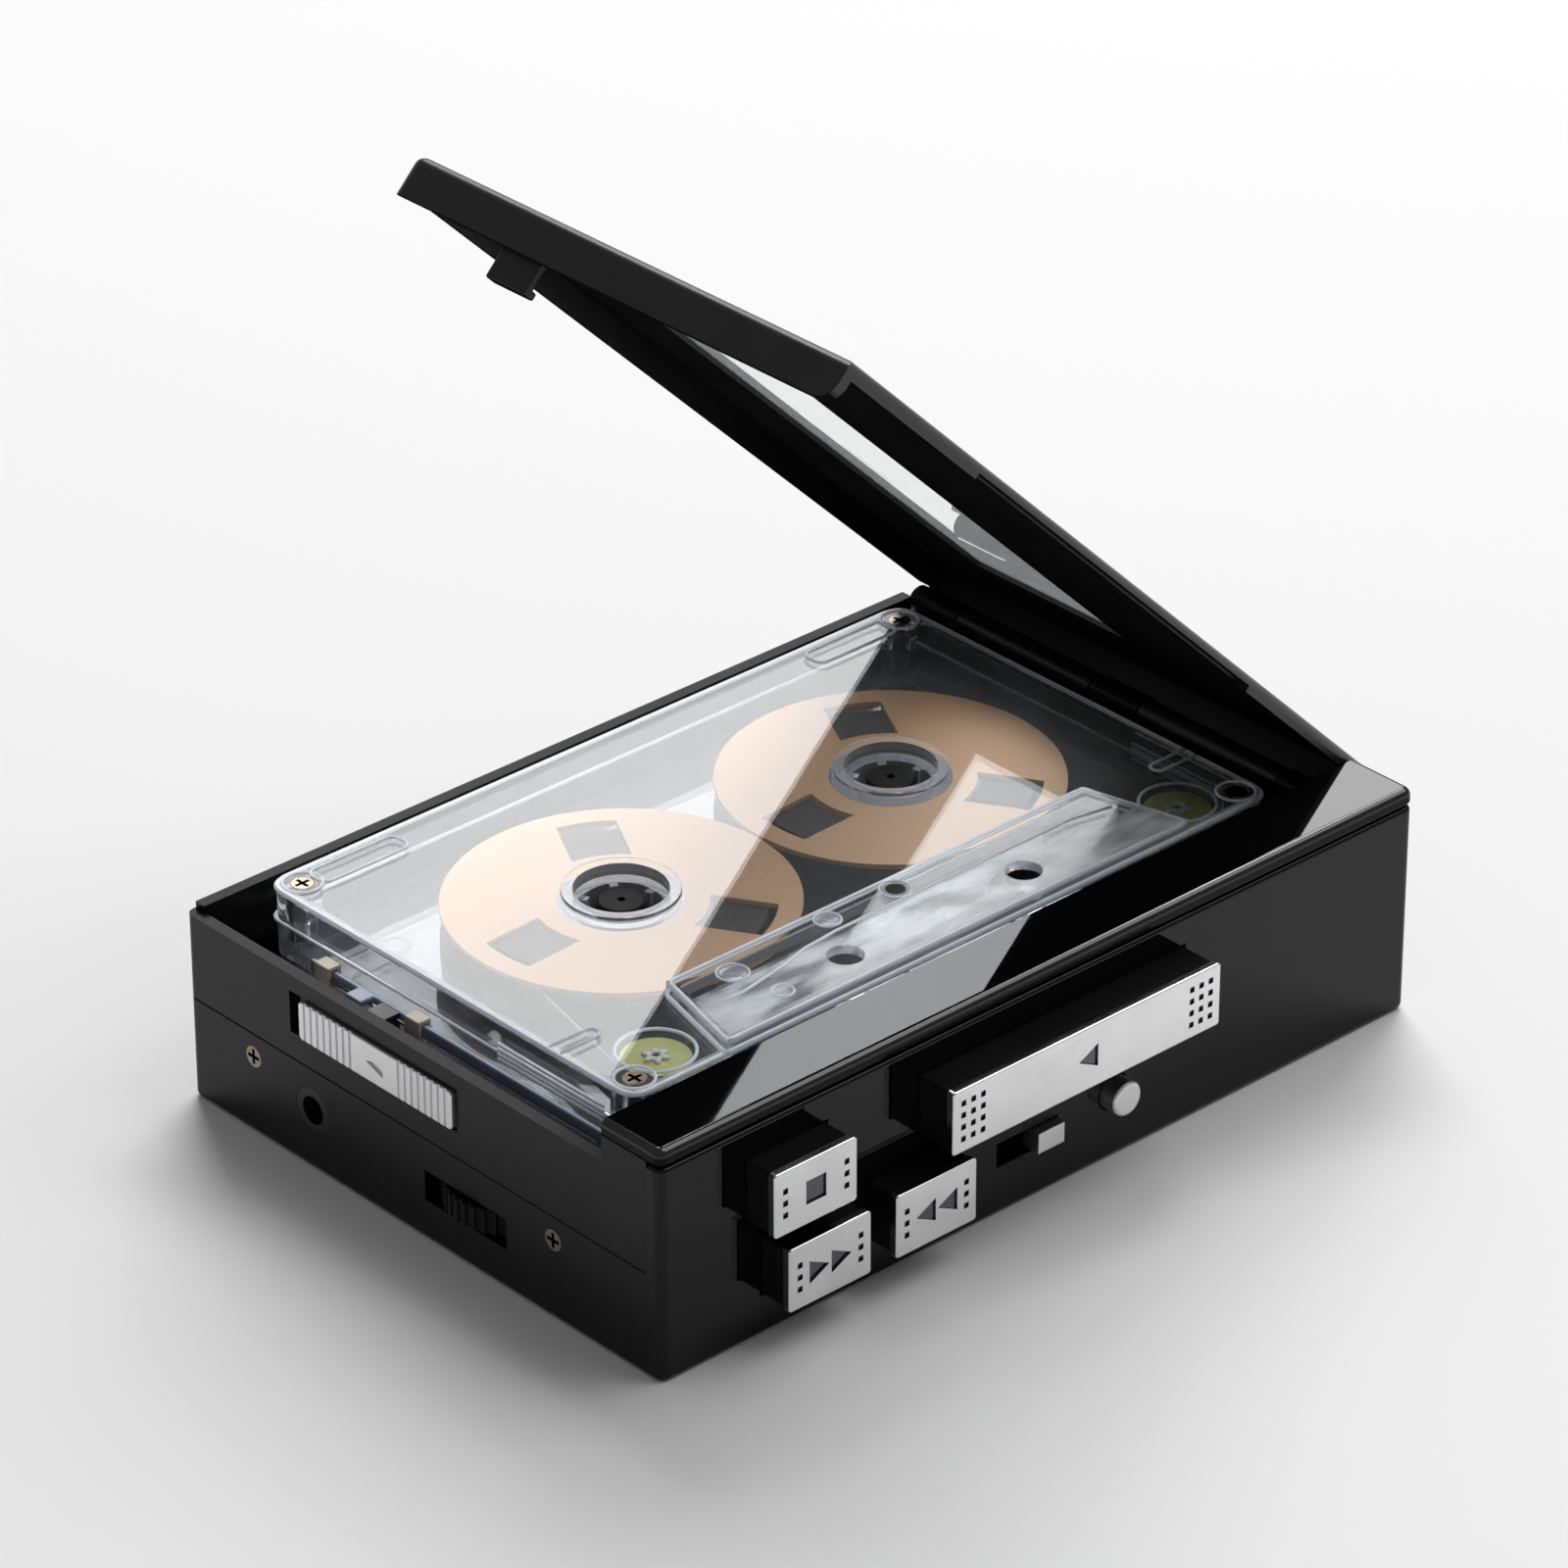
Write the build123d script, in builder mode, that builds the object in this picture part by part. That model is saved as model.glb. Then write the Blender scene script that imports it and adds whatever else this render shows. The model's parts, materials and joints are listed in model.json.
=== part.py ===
from build123d import *
import os
from math import cos, hypot, radians, sin

# Portable cassette player with its lid open and a clear cassette in the well.
# Millimetres. X runs from the latch end to the hinge end, Y from the key side to the back, Z up.
# The origin lies on the resting surface, under the middle of the case.

os.makedirs("parts", exist_ok=True)

# Clearances
slide_gap = 0.25
turn_gap = 0.3
fit_gap = 0.05
seam_gap = 0.2

# Compact cassette
cassette_length = 100.4
cassette_width = 63.8
cassette_thick = 8.7
cassette_corner = 3.0
cassette_wall = 1.2
head_end_step = 1.65
head_end_depth = 14.0
head_end_inset = 13.9
head_end_taper = 3.55
hub_spacing = 42.5
hub_from_front = 34.7
hub_hole_radius = 5.6
collar_width = 1.4
collar_height = 0.35
cassette_screw_inset = 3.0
cassette_boss_radius = 2.2
tape_width = 3.8
tape_thick = 0.25
reel_gap = 0.5
flange_thick = 0.6
flange_bore = 7.4
reel_window_inner = 10.3
reel_window_margin = 2.8
reel_window_width = 7.2
reel_window_count = 3
reel_window_angle = 62.0
pack_inset = 4.0
hub_outer_radius = 10.5
hub_inner_radius = 4.9
hub_teeth = 6
hub_tooth_width = 1.0
hub_tooth_height = 0.9
guide_radius = 4.1
guide_height = 4.4
guide_pin_radius = 1.0
guide_from_end = 9.2
guide_from_front = 6.5
head_window_length = 16.0
pinch_window_length = 10.6
head_window_height = 6.4
capstan_hole_radius = 2.2
capstan_hole_from_front = 4.6
pad_length = 6.0
pad_depth = 1.7

# Case
latch_space = 9.6
hinge_space = 8.0
back_space = 2.9
wall = 1.6
floor_thick = 1.6
panel_thick = 2.2
corner_radius = 1.2
bottom_radius = 0.8
works_height = 12.2
deck_thick = 1.2
parting_drop = 0.3
seam_chamfer = 0.15
cassette_rest_height = 2.3
ceiling_gap = 0.95

# Lid and front strip
lid_open_angle = 44.3
lid_plate = 1.4
lid_wall = 1.5
lid_depth = 4.4
lid_end_lip = 0.8
lid_corner_radius = 2.0
lid_edge_radius = 1.2
lid_lip = 1.9
lid_lip_notch = 0.8
lid_lip_width = 1.5
lid_notch_start = 27.5
lid_notch_length = 61.0
lid_end_round = 2.6
lid_end_inset = 0.6
strip_depth = 9.5
strip_thick = 2.0
strip_round = 1.0
strip_groove_height = 0.4
strip_groove_depth = 0.6
strip_neck_inset = 1.2
strip_sole_round = 0.3
window_length = 78.0
window_width = 25.2
window_ledge = 1.0
window_pane_thick = 0.8

# Hinge
hinge_inset = 2.5
hinge_drop = 1.6
barrel_radius = 1.8
hinge_pin_radius = 0.9
base_knuckle_length = 8.0
base_knuckle_count = 3
hinge_margin = 0.5

# Keys
key_height = 8.2
small_key_width = 12.3
play_key_width = 42.0
small_key_reach = 4.8
play_key_reach = 5.7
play_travel = 4.5
cap_thick = 1.0
cap_lip = 0.2
cap_round = 0.45
cap_edge = 0.22
key_edge = 0.4
key_flange = 0.8
key_tail = 1.2
key_tail_inset = 1.4
stop_from_left = 18.55
rewind_from_left = 20.7
forward_from_left = 36.8
play_from_middle = -0.5
pusher_width = 10.0
deck_key_gap = 0.75
under_deck_key_gap = 0.4
mark_depth = 0.3
mark_size = 3.0
mark_gap = 0.3
stud_size = 0.75
stud_pitch_x = 1.5
stud_pitch_z = 1.55
stud_margin = 1.6
stud_columns = 1
stud_rows = 3
play_stud_columns = 3
play_stud_rows = 4
play_ear = 3.0
spring_rest_length = 5.4
spring_thick = 0.3
spring_height = 3.0
spring_span = 4.0
play_spring_span = 1.6
spring_post_thick = 1.0

# Switch and push button
switch_from_left = 57.95
switch_height = 7.95
switch_knob_width = 4.1
switch_knob_height = 2.7
switch_knob_reach = 1.5
switch_knob_edge = 0.2
switch_travel = 5.0
switch_stem_height = 1.5
switch_stem_depth = 1.2
switch_body_depth = 4.4
switch_body_height = 6.6
switch_body_margin = 2.0
button_from_left = 69.1
button_height = 8.85
button_radius = 2.2
button_reach = 2.5
button_round = 0.5
button_flange = 0.7
button_flange_thick = 0.8
button_travel = 0.8
button_switch_size = 5.2
button_switch_depth = 2.4

# Latch
slider_from_front = 47.6
slider_length = 26.8
slider_height = 5.0
slider_above_parting = 6.25
slider_reach = 0.6
slider_depth = 1.5
slider_travel = 2.0
slider_round = 0.6
slider_edge = 0.2
rib_count = 8
rib_pitch = 1.15
rib_groove = 0.4
rib_depth = 0.2
rib_margin = 0.9
slider_flange_thick = 0.8
slider_flange_from_front = 33.0
slider_flange_length = 21.0
slider_relief = 8.0
slider_flange_height = 6.6
tongue_from_front = 50.0
tongue_width = 3.0
arrow_length = 3.0
arrow_height = 2.0
latch_bar_from_left = 5.3
latch_bar_thick = 0.7
latch_bar_height = 1.6
latch_bar_length = 51.0
latch_bar_from_front = 40.5
latch_bar_above_parting = 8.1
clip_length = 2.6
clip_wall = 0.6
clip_front_from_front = 47.3
clip_back_from_front = 63.2
hook_from_front = 61.2
hook_width = 6.5
hook_thick = 1.2
hook_gap = 0.4
hook_nose = 0.8
hook_nose_height = 1.0
catch_length = 2.8
catch_height = 0.8
ledge_depth = 2.4
ledge_from_front = 11.0
ledge_length = 20.0
ledge_above_parting = 3.5
ledge_height = 2.6

# Latch end controls
jack_from_front = 59.7
jack_height = 8.0
jack_bore = 1.8
jack_bore_depth = 14.0
jack_nose_radius = 2.9
jack_body_width = 7.0
jack_end_wall = 1.2
wheel_from_front = 32.9
wheel_radius = 8.5
wheel_thick = 3.0
wheel_reach = 0.9
wheel_height = 7.3
wheel_slot_length = 14.0
wheel_slot_height = 4.0
wheel_notches = 40
wheel_notch = 0.4
wheel_shaft_radius = 1.3
pot_radius = 5.0

# Fasteners
screw_back_from_front = 70.3
screw_front_from_front = 17.9
screw_height = 10.4
screw_head_radius = 1.35
screw_head_thick = 0.8
screw_radius = 0.8
screw_length = 4.2
screw_cross = 0.45
screw_cross_length = 2.0
lug_thick = 2.4
lug_half_width = 2.4
lug_half_height = 2.5
deck_post_radius = 2.5
deck_post_inset_x = 5.6
deck_post_inset_y = 5.6
deck_screw_length = 5.0
cassette_screw_length = 7.0
rest_radius = 2.5
rest_inset = 7.0

# Drive
capstan_from_middle = 14.0
capstan_from_front = 3.8
capstan_radius = 1.0
bearing_radius = 2.4
bearing_length = 4.2
flywheel_radius = 11.0
flywheel_thick = 3.8
flywheel_bottom = 2.6
flywheel_hub_radius = 5.0
groove_depth = 0.6
groove_width = 1.6
thrust_gap = 0.1
motor_radius = 11.0
motor_clearance = 0.4
motor_from_right = 18.5
motor_shaft_radius = 0.75
motor_shaft_seat = 3.0
pulley_radius = 2.6
belt_thick = 1.0
belt_width = 1.2
spindle_shaft_radius = 1.5
spindle_core_radius = 2.9
spindle_fin_reach = 4.4
spindle_fin_width = 1.2
spindle_fins = 3
spindle_dimple_radius = 0.5
spindle_dimple = 0.8
spindle_rim_radius = 9.0
rim_thick = 2.0
rim_drop = 5.0
bush_wall = 1.1
bush_flange = 0.8
idler_thick = 1.6
idler_stud_radius = 1.3
idler_collar = 0.9

# Head bridge
bridge_thick = 1.0
bridge_lift = 0.2
bridge_length = 30.0
bridge_overhang = 4.5
bridge_clearance = 0.35
bridge_from_play = 0.2
head_length = 9.0
head_depth = 5.5
head_height = 5.4
head_round = 1.2
head_bracket_depth = 3.0
pinch_radius = 4.2
pinch_gap = 0.55
pinch_height = 5.4
pinch_stud_radius = 1.2
pinch_collar = 1.0
rail_width = 1.2
rail_lip = 0.8
rail_lip_thick = 0.6

# Electronics
board_thick = 1.2
board_lift = 1.8
board_length = 50.0
board_front = 13.0
board_back_gap = 0.5
board_edge_gap = 0.8
board_notch = 10.0
battery_board_gap = 7.6
battery_front_gap = 4.3
battery_thick = 5.6
battery_from_right = 11.0
battery_back_gap = 4.0
socket_from_left = 28.0
socket_width = 9.0
socket_height = 3.2
socket_depth = 7.3
socket_wall = 0.4

# Case datums
front_space = (panel_thick + slide_gap + key_tail + pinch_gap + 2 * pinch_radius + play_travel + 2 * turn_gap
               + guide_radius - guide_from_front)
case_length = latch_space + cassette_length + hinge_space
case_width = front_space + cassette_width + back_space
left = -case_length / 2
right = case_length / 2
front = -case_width / 2
back = case_width / 2
panel_back = front + panel_thick
deck_bottom = floor_thick + works_height
deck_top = deck_bottom + deck_thick
parting = deck_bottom - parting_drop
rim_bottom = deck_bottom - rim_drop
cassette_bottom = deck_top + cassette_rest_height
cassette_mid = cassette_bottom + cassette_thick / 2
head_end_top = cassette_mid + cassette_thick / 2 + head_end_step
case_height = head_end_top + ceiling_gap + lid_plate
strip_bottom = case_height - strip_thick
panel_top = strip_bottom - strip_groove_height
rim = case_height - lid_depth - seam_gap
strip_back = front + strip_depth
lid_front = strip_back + turn_gap
hinge_x = right - hinge_inset
hinge_z = rim - hinge_drop
hinge_wall_top = hinge_z - barrel_radius - turn_gap
hinge_relief = barrel_radius + 2 * turn_gap

# Cassette datums
cassette_x = left + latch_space + cassette_length / 2
cassette_front = front + front_space
cassette_y = cassette_front + cassette_width / 2
hub_y = cassette_front + hub_from_front
left_hub_x = cassette_x - hub_spacing / 2
right_hub_x = cassette_x + hub_spacing / 2
capstan_x = cassette_x + capstan_from_middle
capstan_y = cassette_front + capstan_from_front
guide_y = cassette_front + guide_from_front
guides = (
    cassette_x - cassette_length / 2 + guide_from_end,
    cassette_x + cassette_length / 2 - guide_from_end,
)
tape_line = guide_y - guide_radius - turn_gap
reel_radius = (hub_spacing - reel_gap) / 2
pack_radius = reel_radius - pack_inset
reel_window_outer = reel_radius - reel_window_margin
head_end_front = cassette_length - 2 * head_end_inset
head_end_back = head_end_front - 2 * head_end_taper

# Rows of keys
upper_row = deck_top + deck_key_gap + key_height / 2
lower_row = deck_bottom - under_deck_key_gap - key_height / 2
tail_back = panel_back + slide_gap + key_tail
spring_post_front = tail_back + spring_rest_length

# Latch heights
slider_middle = parting + slider_above_parting
bar_low = parting + latch_bar_above_parting
bar_high = bar_low + latch_bar_height
hook_tip = bar_high - catch_height - hook_gap - hook_nose_height

# Board
board_top = floor_thick + board_lift + board_thick
wheel_x = left + wheel_radius - wheel_reach
wheel_y = front + wheel_from_front

# Frame of the closed lid, turned about the hinge pin to the open angle
lid_turn = radians(lid_open_angle)
lid_frame = Plane(
    origin=(hinge_x, 0, hinge_z),
    x_dir=(cos(lid_turn), 0, -sin(lid_turn)),
    z_dir=(sin(lid_turn), 0, cos(lid_turn)),
)
lid_u0 = left - hinge_x
lid_u1 = right - lid_end_inset - hinge_x
lid_low = rim + seam_gap - hinge_z
lid_high = case_height - hinge_z
lid_ceiling = lid_high - lid_plate


def save(builder, name):
    """Label a finished piece and write it."""
    builder.part.label = name
    export_step(builder.part, f"parts/{name}.step")


def block(x0, x1, y0, y1, z0, z1, mode=Mode.ADD):
    """Box between two corners, in the part that is being made."""
    with Locations(((x0 + x1) / 2, (y0 + y1) / 2, (z0 + z1) / 2)):
        Box(x1 - x0, y1 - y0, z1 - z0, mode=mode)


def post(x, y, z0, z1, radius, mode=Mode.ADD):
    """Upright cylinder."""
    with Locations((x, y, (z0 + z1) / 2)):
        Cylinder(radius, z1 - z0, mode=mode)


def rod_x(x0, x1, y, z, radius, mode=Mode.ADD):
    """Cylinder along X."""
    with Locations(((x0 + x1) / 2, y, z)):
        Cylinder(radius, x1 - x0, rotation=(0, 90, 0), mode=mode)


def rod_y(x, y0, y1, z, radius, mode=Mode.ADD):
    """Cylinder along Y."""
    with Locations((x, (y0 + y1) / 2, z)):
        Cylinder(radius, y1 - y0, rotation=(90, 0, 0), mode=mode)


def lid_block(u0, u1, v0, v1, w0, w1, mode=Mode.ADD):
    """Box in the lid's own frame, in the part that is being made."""
    with BuildSketch(lid_frame.offset(w0)) as outline:
        with Locations(((u0 + u1) / 2, (v0 + v1) / 2)):
            Rectangle(u1 - u0, v1 - v0)
    extrude(outline.sketch, amount=w1 - w0, mode=mode)


# Places of the case screws, the deck posts and the knuckles of the hinge
screw_ys = (front + screw_front_from_front, front + screw_back_from_front)
case_ends = ((left, 1), (right, -1))
deck_posts = [
    (left + wall + deck_post_inset_x, front + panel_thick + deck_post_inset_y),
    (left + wall + deck_post_inset_x, back - wall - deck_post_inset_y),
    (right - wall - deck_post_inset_x, front + panel_thick + deck_post_inset_y),
    (right - wall - deck_post_inset_x, back - wall - deck_post_inset_y),
]
hinge_start = lid_front + hinge_margin
hinge_end = back - hinge_margin
knuckle_pitch = (hinge_end - hinge_start - base_knuckle_length) / (base_knuckle_count - 1)
base_knuckles = [
    (hinge_start + i * knuckle_pitch, hinge_start + i * knuckle_pitch + base_knuckle_length)
    for i in range(base_knuckle_count)
]
lid_knuckles = [
    (base_knuckles[i][1] + turn_gap, base_knuckles[i + 1][0] - turn_gap) for i in range(base_knuckle_count - 1)
]

# Keys: name, middle, row, width, reach, half length of the tail
keys = [
    ("stop", left + stop_from_left, upper_row, small_key_width, small_key_reach, key_flange),
    ("rewind", left + rewind_from_left, lower_row, small_key_width, small_key_reach, key_flange),
    ("forward", left + forward_from_left, lower_row, small_key_width, small_key_reach, key_flange),
    ("play", cassette_x + play_from_middle, upper_row, play_key_width, play_key_reach, play_ear),
]
play_x = cassette_x + play_from_middle
play_ear_middle = play_key_width / 2 + play_ear / 2
switch_x = left + switch_from_left
switch_slot_left = switch_x - switch_knob_width / 2 - switch_travel - slide_gap
switch_slot_right = switch_x + switch_knob_width / 2 + slide_gap
button_x = left + button_from_left
button_flange_front = panel_back + slide_gap
button_back = button_flange_front + button_flange_thick
button_switch_front = button_back + button_travel + seam_gap


# Lower shell, open towards the front panel
with BuildPart() as lower_shell:
    block(left, right, panel_back, back, 0, parting)
    fillet(lower_shell.edges().filter_by(Axis.Z).group_by(Axis.Y)[-1], corner_radius)
    underside = lower_shell.faces().sort_by(Axis.Z)[0]
    fillet([e for e in underside.edges() if e.center().Y > panel_back + fit_gap], bottom_radius)
    chamfer(lower_shell.faces().sort_by(Axis.Z)[-1].edges(), seam_chamfer)
    block(left + wall, right - wall, panel_back, back - wall, floor_thick, parting, Mode.SUBTRACT)
    # Seats of the deck, the board, the capstan and the button's switch
    for post_x, post_y in deck_posts:
        post(post_x, post_y, floor_thick, deck_bottom, deck_post_radius)
        post(post_x, post_y, deck_top - deck_screw_length, deck_bottom, screw_radius + fit_gap, Mode.SUBTRACT)
    board_left = left + wall + board_edge_gap
    for seat_x in (board_left + deck_post_radius, board_left + board_length - deck_post_radius):
        for seat_y in (front + board_front + deck_post_radius, hub_y):
            post(seat_x, seat_y, floor_thick, floor_thick + board_lift, deck_post_radius)
    post(capstan_x, capstan_y, floor_thick, flywheel_bottom - 2 * thrust_gap, bearing_radius)
    block(
        button_x - button_switch_size / 2,
        button_x + button_switch_size / 2,
        button_switch_front,
        button_switch_front + button_switch_depth,
        floor_thick,
        board_top,
    )
    # Rib that the springs of the lower keys bear on
    block(
        left + rewind_from_left - spring_span - spring_thick,
        left + forward_from_left + spring_span + spring_thick,
        spring_post_front,
        spring_post_front + spring_post_thick,
        floor_thick,
        lower_row + spring_height / 2,
    )
    # Openings in the latch end, the screws and the charging socket
    rod_x(left, left + wall, front + jack_from_front, jack_height, jack_nose_radius + fit_gap, Mode.SUBTRACT)
    block(
        left,
        left + wall,
        wheel_y - wheel_slot_length / 2,
        wheel_y + wheel_slot_length / 2,
        wheel_height - wheel_slot_height / 2,
        wheel_height + wheel_slot_height / 2,
        Mode.SUBTRACT,
    )
    for end_x, inward in case_ends:
        head_end = end_x + inward * screw_head_thick
        for screw_y in screw_ys:
            rod_x(min(end_x, head_end), max(end_x, head_end), screw_y, screw_height,
                  screw_head_radius + fit_gap, Mode.SUBTRACT)
            hole_end = end_x + inward * wall
            rod_x(min(end_x, hole_end), max(end_x, hole_end), screw_y, screw_height,
                  screw_radius + fit_gap, Mode.SUBTRACT)
    socket_x = left + socket_from_left
    block(
        socket_x - socket_width / 2 - fit_gap,
        socket_x + socket_width / 2 + fit_gap,
        back - wall,
        back,
        board_top - fit_gap,
        board_top + socket_height + fit_gap,
        Mode.SUBTRACT,
    )
save(lower_shell, "lower_shell")

# Upper shell: walls up to the rim, cheeks up to the front strip, knuckles at the hinge end
with BuildPart() as upper_shell:
    block(left, right, panel_back, back, parting, strip_bottom)
    fillet(upper_shell.edges().filter_by(Axis.Z).group_by(Axis.Y)[-1], corner_radius)
    chamfer(upper_shell.faces().sort_by(Axis.Z)[0].edges(), seam_chamfer)
    block(left + wall, right - wall, panel_back, back - wall, parting, strip_bottom, Mode.SUBTRACT)
    block(left, right, strip_back, back, rim, strip_bottom, Mode.SUBTRACT)
    block(left, left + wall, strip_back, back, rim - lid_end_lip, rim, Mode.SUBTRACT)
    block(hinge_x - hinge_relief, right, strip_back, back, hinge_wall_top, strip_bottom, Mode.SUBTRACT)
    for knuckle_start, knuckle_stop in base_knuckles:
        rod_y(hinge_x, knuckle_start, knuckle_stop, hinge_z, barrel_radius)
        block(hinge_x, hinge_x + barrel_radius, knuckle_start, knuckle_stop, hinge_wall_top - wall, hinge_z)
    rod_y(hinge_x, hinge_start, hinge_end, hinge_z, hinge_pin_radius + fit_gap, Mode.SUBTRACT)
    # Slot of the latch slider and the ledge beside the well
    block(
        left,
        left + wall,
        front + slider_from_front - slider_length / 2 - slide_gap,
        front + slider_from_front + slider_length / 2 + slider_travel + slide_gap,
        slider_middle - slider_height / 2 - slide_gap,
        slider_middle + slider_height / 2 + slide_gap,
        Mode.SUBTRACT,
    )
    block(
        left + wall / 2,
        left + wall + ledge_depth,
        front + ledge_from_front,
        front + ledge_from_front + ledge_length,
        parting + ledge_above_parting,
        parting + ledge_above_parting + ledge_height,
    )
    # Lugs that hang down inside the lower shell and take the case screws
    for end_x, inward in case_ends:
        lug_outer = end_x + inward * (wall + fit_gap)
        lug_inner = lug_outer + inward * lug_thick
        wall_middle = end_x + inward * wall / 2
        for screw_y in screw_ys:
            block(min(lug_outer, lug_inner), max(lug_outer, lug_inner), screw_y - lug_half_width,
                  screw_y + lug_half_width, screw_height - lug_half_height, deck_top)
            block(min(wall_middle, lug_inner), max(wall_middle, lug_inner), screw_y - lug_half_width,
                  screw_y + lug_half_width, parting + seam_gap, deck_top)
            rod_x(min(lug_outer, lug_inner), max(lug_outer, lug_inner), screw_y, screw_height,
                  screw_radius + fit_gap, Mode.SUBTRACT)
save(upper_shell, "upper_shell")

# Glossy front panel with the key openings
with BuildPart() as front_panel:
    block(left, right, front, panel_back, 0, panel_top)
    fillet(front_panel.edges().filter_by(Axis.Z).group_by(Axis.Y)[0], corner_radius)
    foot = front_panel.faces().sort_by(Axis.Z)[0]
    fillet([e for e in foot.edges() if e.center().Y < panel_back - fit_gap], bottom_radius)
    brow = front_panel.faces().sort_by(Axis.Z)[-1]
    fillet([e for e in brow.edges() if e.center().Y < panel_back - fit_gap], strip_groove_depth)
    block(left + corner_radius, right - corner_radius, front + strip_neck_inset, panel_back,
          panel_top, strip_bottom)
    for key_name, key_x, row, key_width, reach, tail in keys:
        half_width = key_width / 2 - cap_lip + slide_gap
        half_height = key_height / 2 - cap_lip + slide_gap
        block(key_x - half_width, key_x + half_width, front, panel_back, row - half_height, row + half_height,
              Mode.SUBTRACT)
    knob_half = switch_knob_height / 2 + slide_gap
    block(switch_slot_left, switch_slot_right, front, panel_back, switch_height - knob_half,
          switch_height + knob_half, Mode.SUBTRACT)
    rod_y(button_x, front, panel_back, button_height, button_radius + slide_gap, Mode.SUBTRACT)
save(front_panel, "front_panel")

# Glossy strip over the heads
with BuildPart() as front_strip:
    block(left, right, front, strip_back, strip_bottom, case_height)
    fillet(front_strip.edges().filter_by(Axis.Z).group_by(Axis.Y)[0], corner_radius)
    crown = front_strip.faces().sort_by(Axis.Z)[-1]
    fillet([e for e in crown.edges() if e.center().Y < strip_back - fit_gap], strip_round)
    sole = front_strip.faces().sort_by(Axis.Z)[0]
    fillet([e for e in sole.edges() if e.center().Y < strip_back - fit_gap], strip_sole_round)
save(front_strip, "front_strip")


def cross_head(x, y, z, direction, radius, thick, length, shank):
    """Screw with a cross recess: head outwards along direction, shank inwards."""
    head_plane = Plane(origin=(x, y, z), z_dir=direction)
    with BuildSketch(head_plane) as head_outline:
        Circle(radius)
    extrude(head_outline.sketch, amount=-thick)
    with BuildSketch(head_plane) as shank_outline:
        Circle(shank)
    extrude(shank_outline.sketch, amount=-length)
    with BuildSketch(head_plane) as recess:
        Rectangle(screw_cross_length, screw_cross)
        Rectangle(screw_cross, screw_cross_length)
    extrude(recess.sketch, amount=-thick / 2, mode=Mode.SUBTRACT)


with BuildPart() as case_screws:
    for end_x, inward in case_ends:
        for screw_y in screw_ys:
            cross_head(end_x, screw_y, screw_height, (-inward, 0, 0), screw_head_radius, screw_head_thick,
                       screw_length, screw_radius)
save(case_screws, "case_screws")

# Deck plate with the cassette rests, the key posts, the bridge rails and the idler stud
idler_gap_x = right_hub_x - capstan_x
idler_gap_y = hub_y - capstan_y
idler_span = hypot(idler_gap_x, idler_gap_y)
idler_radius = (idler_span - flywheel_hub_radius - spindle_rim_radius) / 2 - turn_gap
idler_share = (flywheel_hub_radius + turn_gap + idler_radius) / idler_span
idler_x = capstan_x + idler_gap_x * idler_share
idler_y = capstan_y + idler_gap_y * idler_share
idler_bottom = rim_bottom + seam_gap
bridge_bottom = deck_top + bridge_lift
bridge_front = tail_back + bridge_from_play
bridge_back = cassette_front - play_travel - bridge_clearance
bridge_top = bridge_bottom + bridge_thick
bridge_left = cassette_x - bridge_length / 2
bridge_right = capstan_x + bridge_overhang
cassette_rests = [
    (cassette_x + i * (cassette_length / 2 - rest_inset), cassette_y + j * (cassette_width / 2 - rest_inset))
    for i in (-1, 1) for j in (-1, 1)
]
deck_left = left + wall + turn_gap
deck_right = right - wall - turn_gap

with BuildPart() as deck_plate:
    block(deck_left, deck_right, tail_back, back - wall - turn_gap, deck_bottom, deck_top)
    for end_x, inward in case_ends:
        notch_inner = end_x + inward * (wall + lug_thick + 2 * turn_gap)
        for screw_y in screw_ys:
            block(min(end_x, notch_inner), max(end_x, notch_inner), screw_y - lug_half_width - turn_gap,
                  screw_y + lug_half_width + turn_gap, deck_bottom, deck_top, Mode.SUBTRACT)
    for rest_x, rest_y in cassette_rests:
        post(rest_x, rest_y, deck_top, cassette_bottom, rest_radius)
    for hub_x in (left_hub_x, right_hub_x):
        post(hub_x, hub_y, deck_bottom, deck_top, spindle_shaft_radius + bush_wall + 2 * fit_gap, Mode.SUBTRACT)
    post(capstan_x, capstan_y, deck_bottom, deck_top, bearing_radius + fit_gap, Mode.SUBTRACT)
    for post_x, post_y in deck_posts:
        post(post_x, post_y, deck_bottom, deck_top, screw_radius + fit_gap, Mode.SUBTRACT)
    # Posts behind the stop key and the two ears of the play key
    spring_top = upper_row + spring_height / 2
    stop_x = left + stop_from_left
    block(stop_x - spring_span - spring_thick, stop_x + spring_span + spring_thick, spring_post_front,
          spring_post_front + spring_post_thick, deck_bottom, spring_top)
    for ear in (-1, 1):
        ear_x = play_x + ear * play_ear_middle
        block(ear_x - play_ear / 2, ear_x + play_ear / 2, spring_post_front + key_tail,
              spring_post_front + key_tail + spring_post_thick, deck_bottom, spring_top)
    # Rails that start behind the pushed play key and end before the cassette
    rail_front = tail_back + play_travel + slide_gap
    rail_back = cassette_front - slide_gap
    rail_top = bridge_top + seam_gap + rail_lip_thick
    for rail_x, inward in ((bridge_left - slide_gap, 1), (bridge_right + slide_gap, -1)):
        rail_outer = rail_x - inward * rail_width
        lip_end = rail_x + inward * rail_lip
        block(min(rail_x, rail_outer), max(rail_x, rail_outer), rail_front, rail_back, deck_bottom, rail_top)
        block(min(lip_end, rail_outer), max(lip_end, rail_outer), rail_front, rail_back,
              bridge_top + seam_gap, rail_top)
    post(idler_x, idler_y, idler_bottom - 2 * seam_gap, deck_bottom, idler_stud_radius)
    collar_radius = idler_stud_radius + idler_collar
    post(idler_x, idler_y, idler_bottom + idler_thick + seam_gap, deck_bottom, collar_radius)
    post(idler_x, idler_y, idler_bottom - 3 * seam_gap, idler_bottom - seam_gap, collar_radius)
save(deck_plate, "deck_plate")

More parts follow.
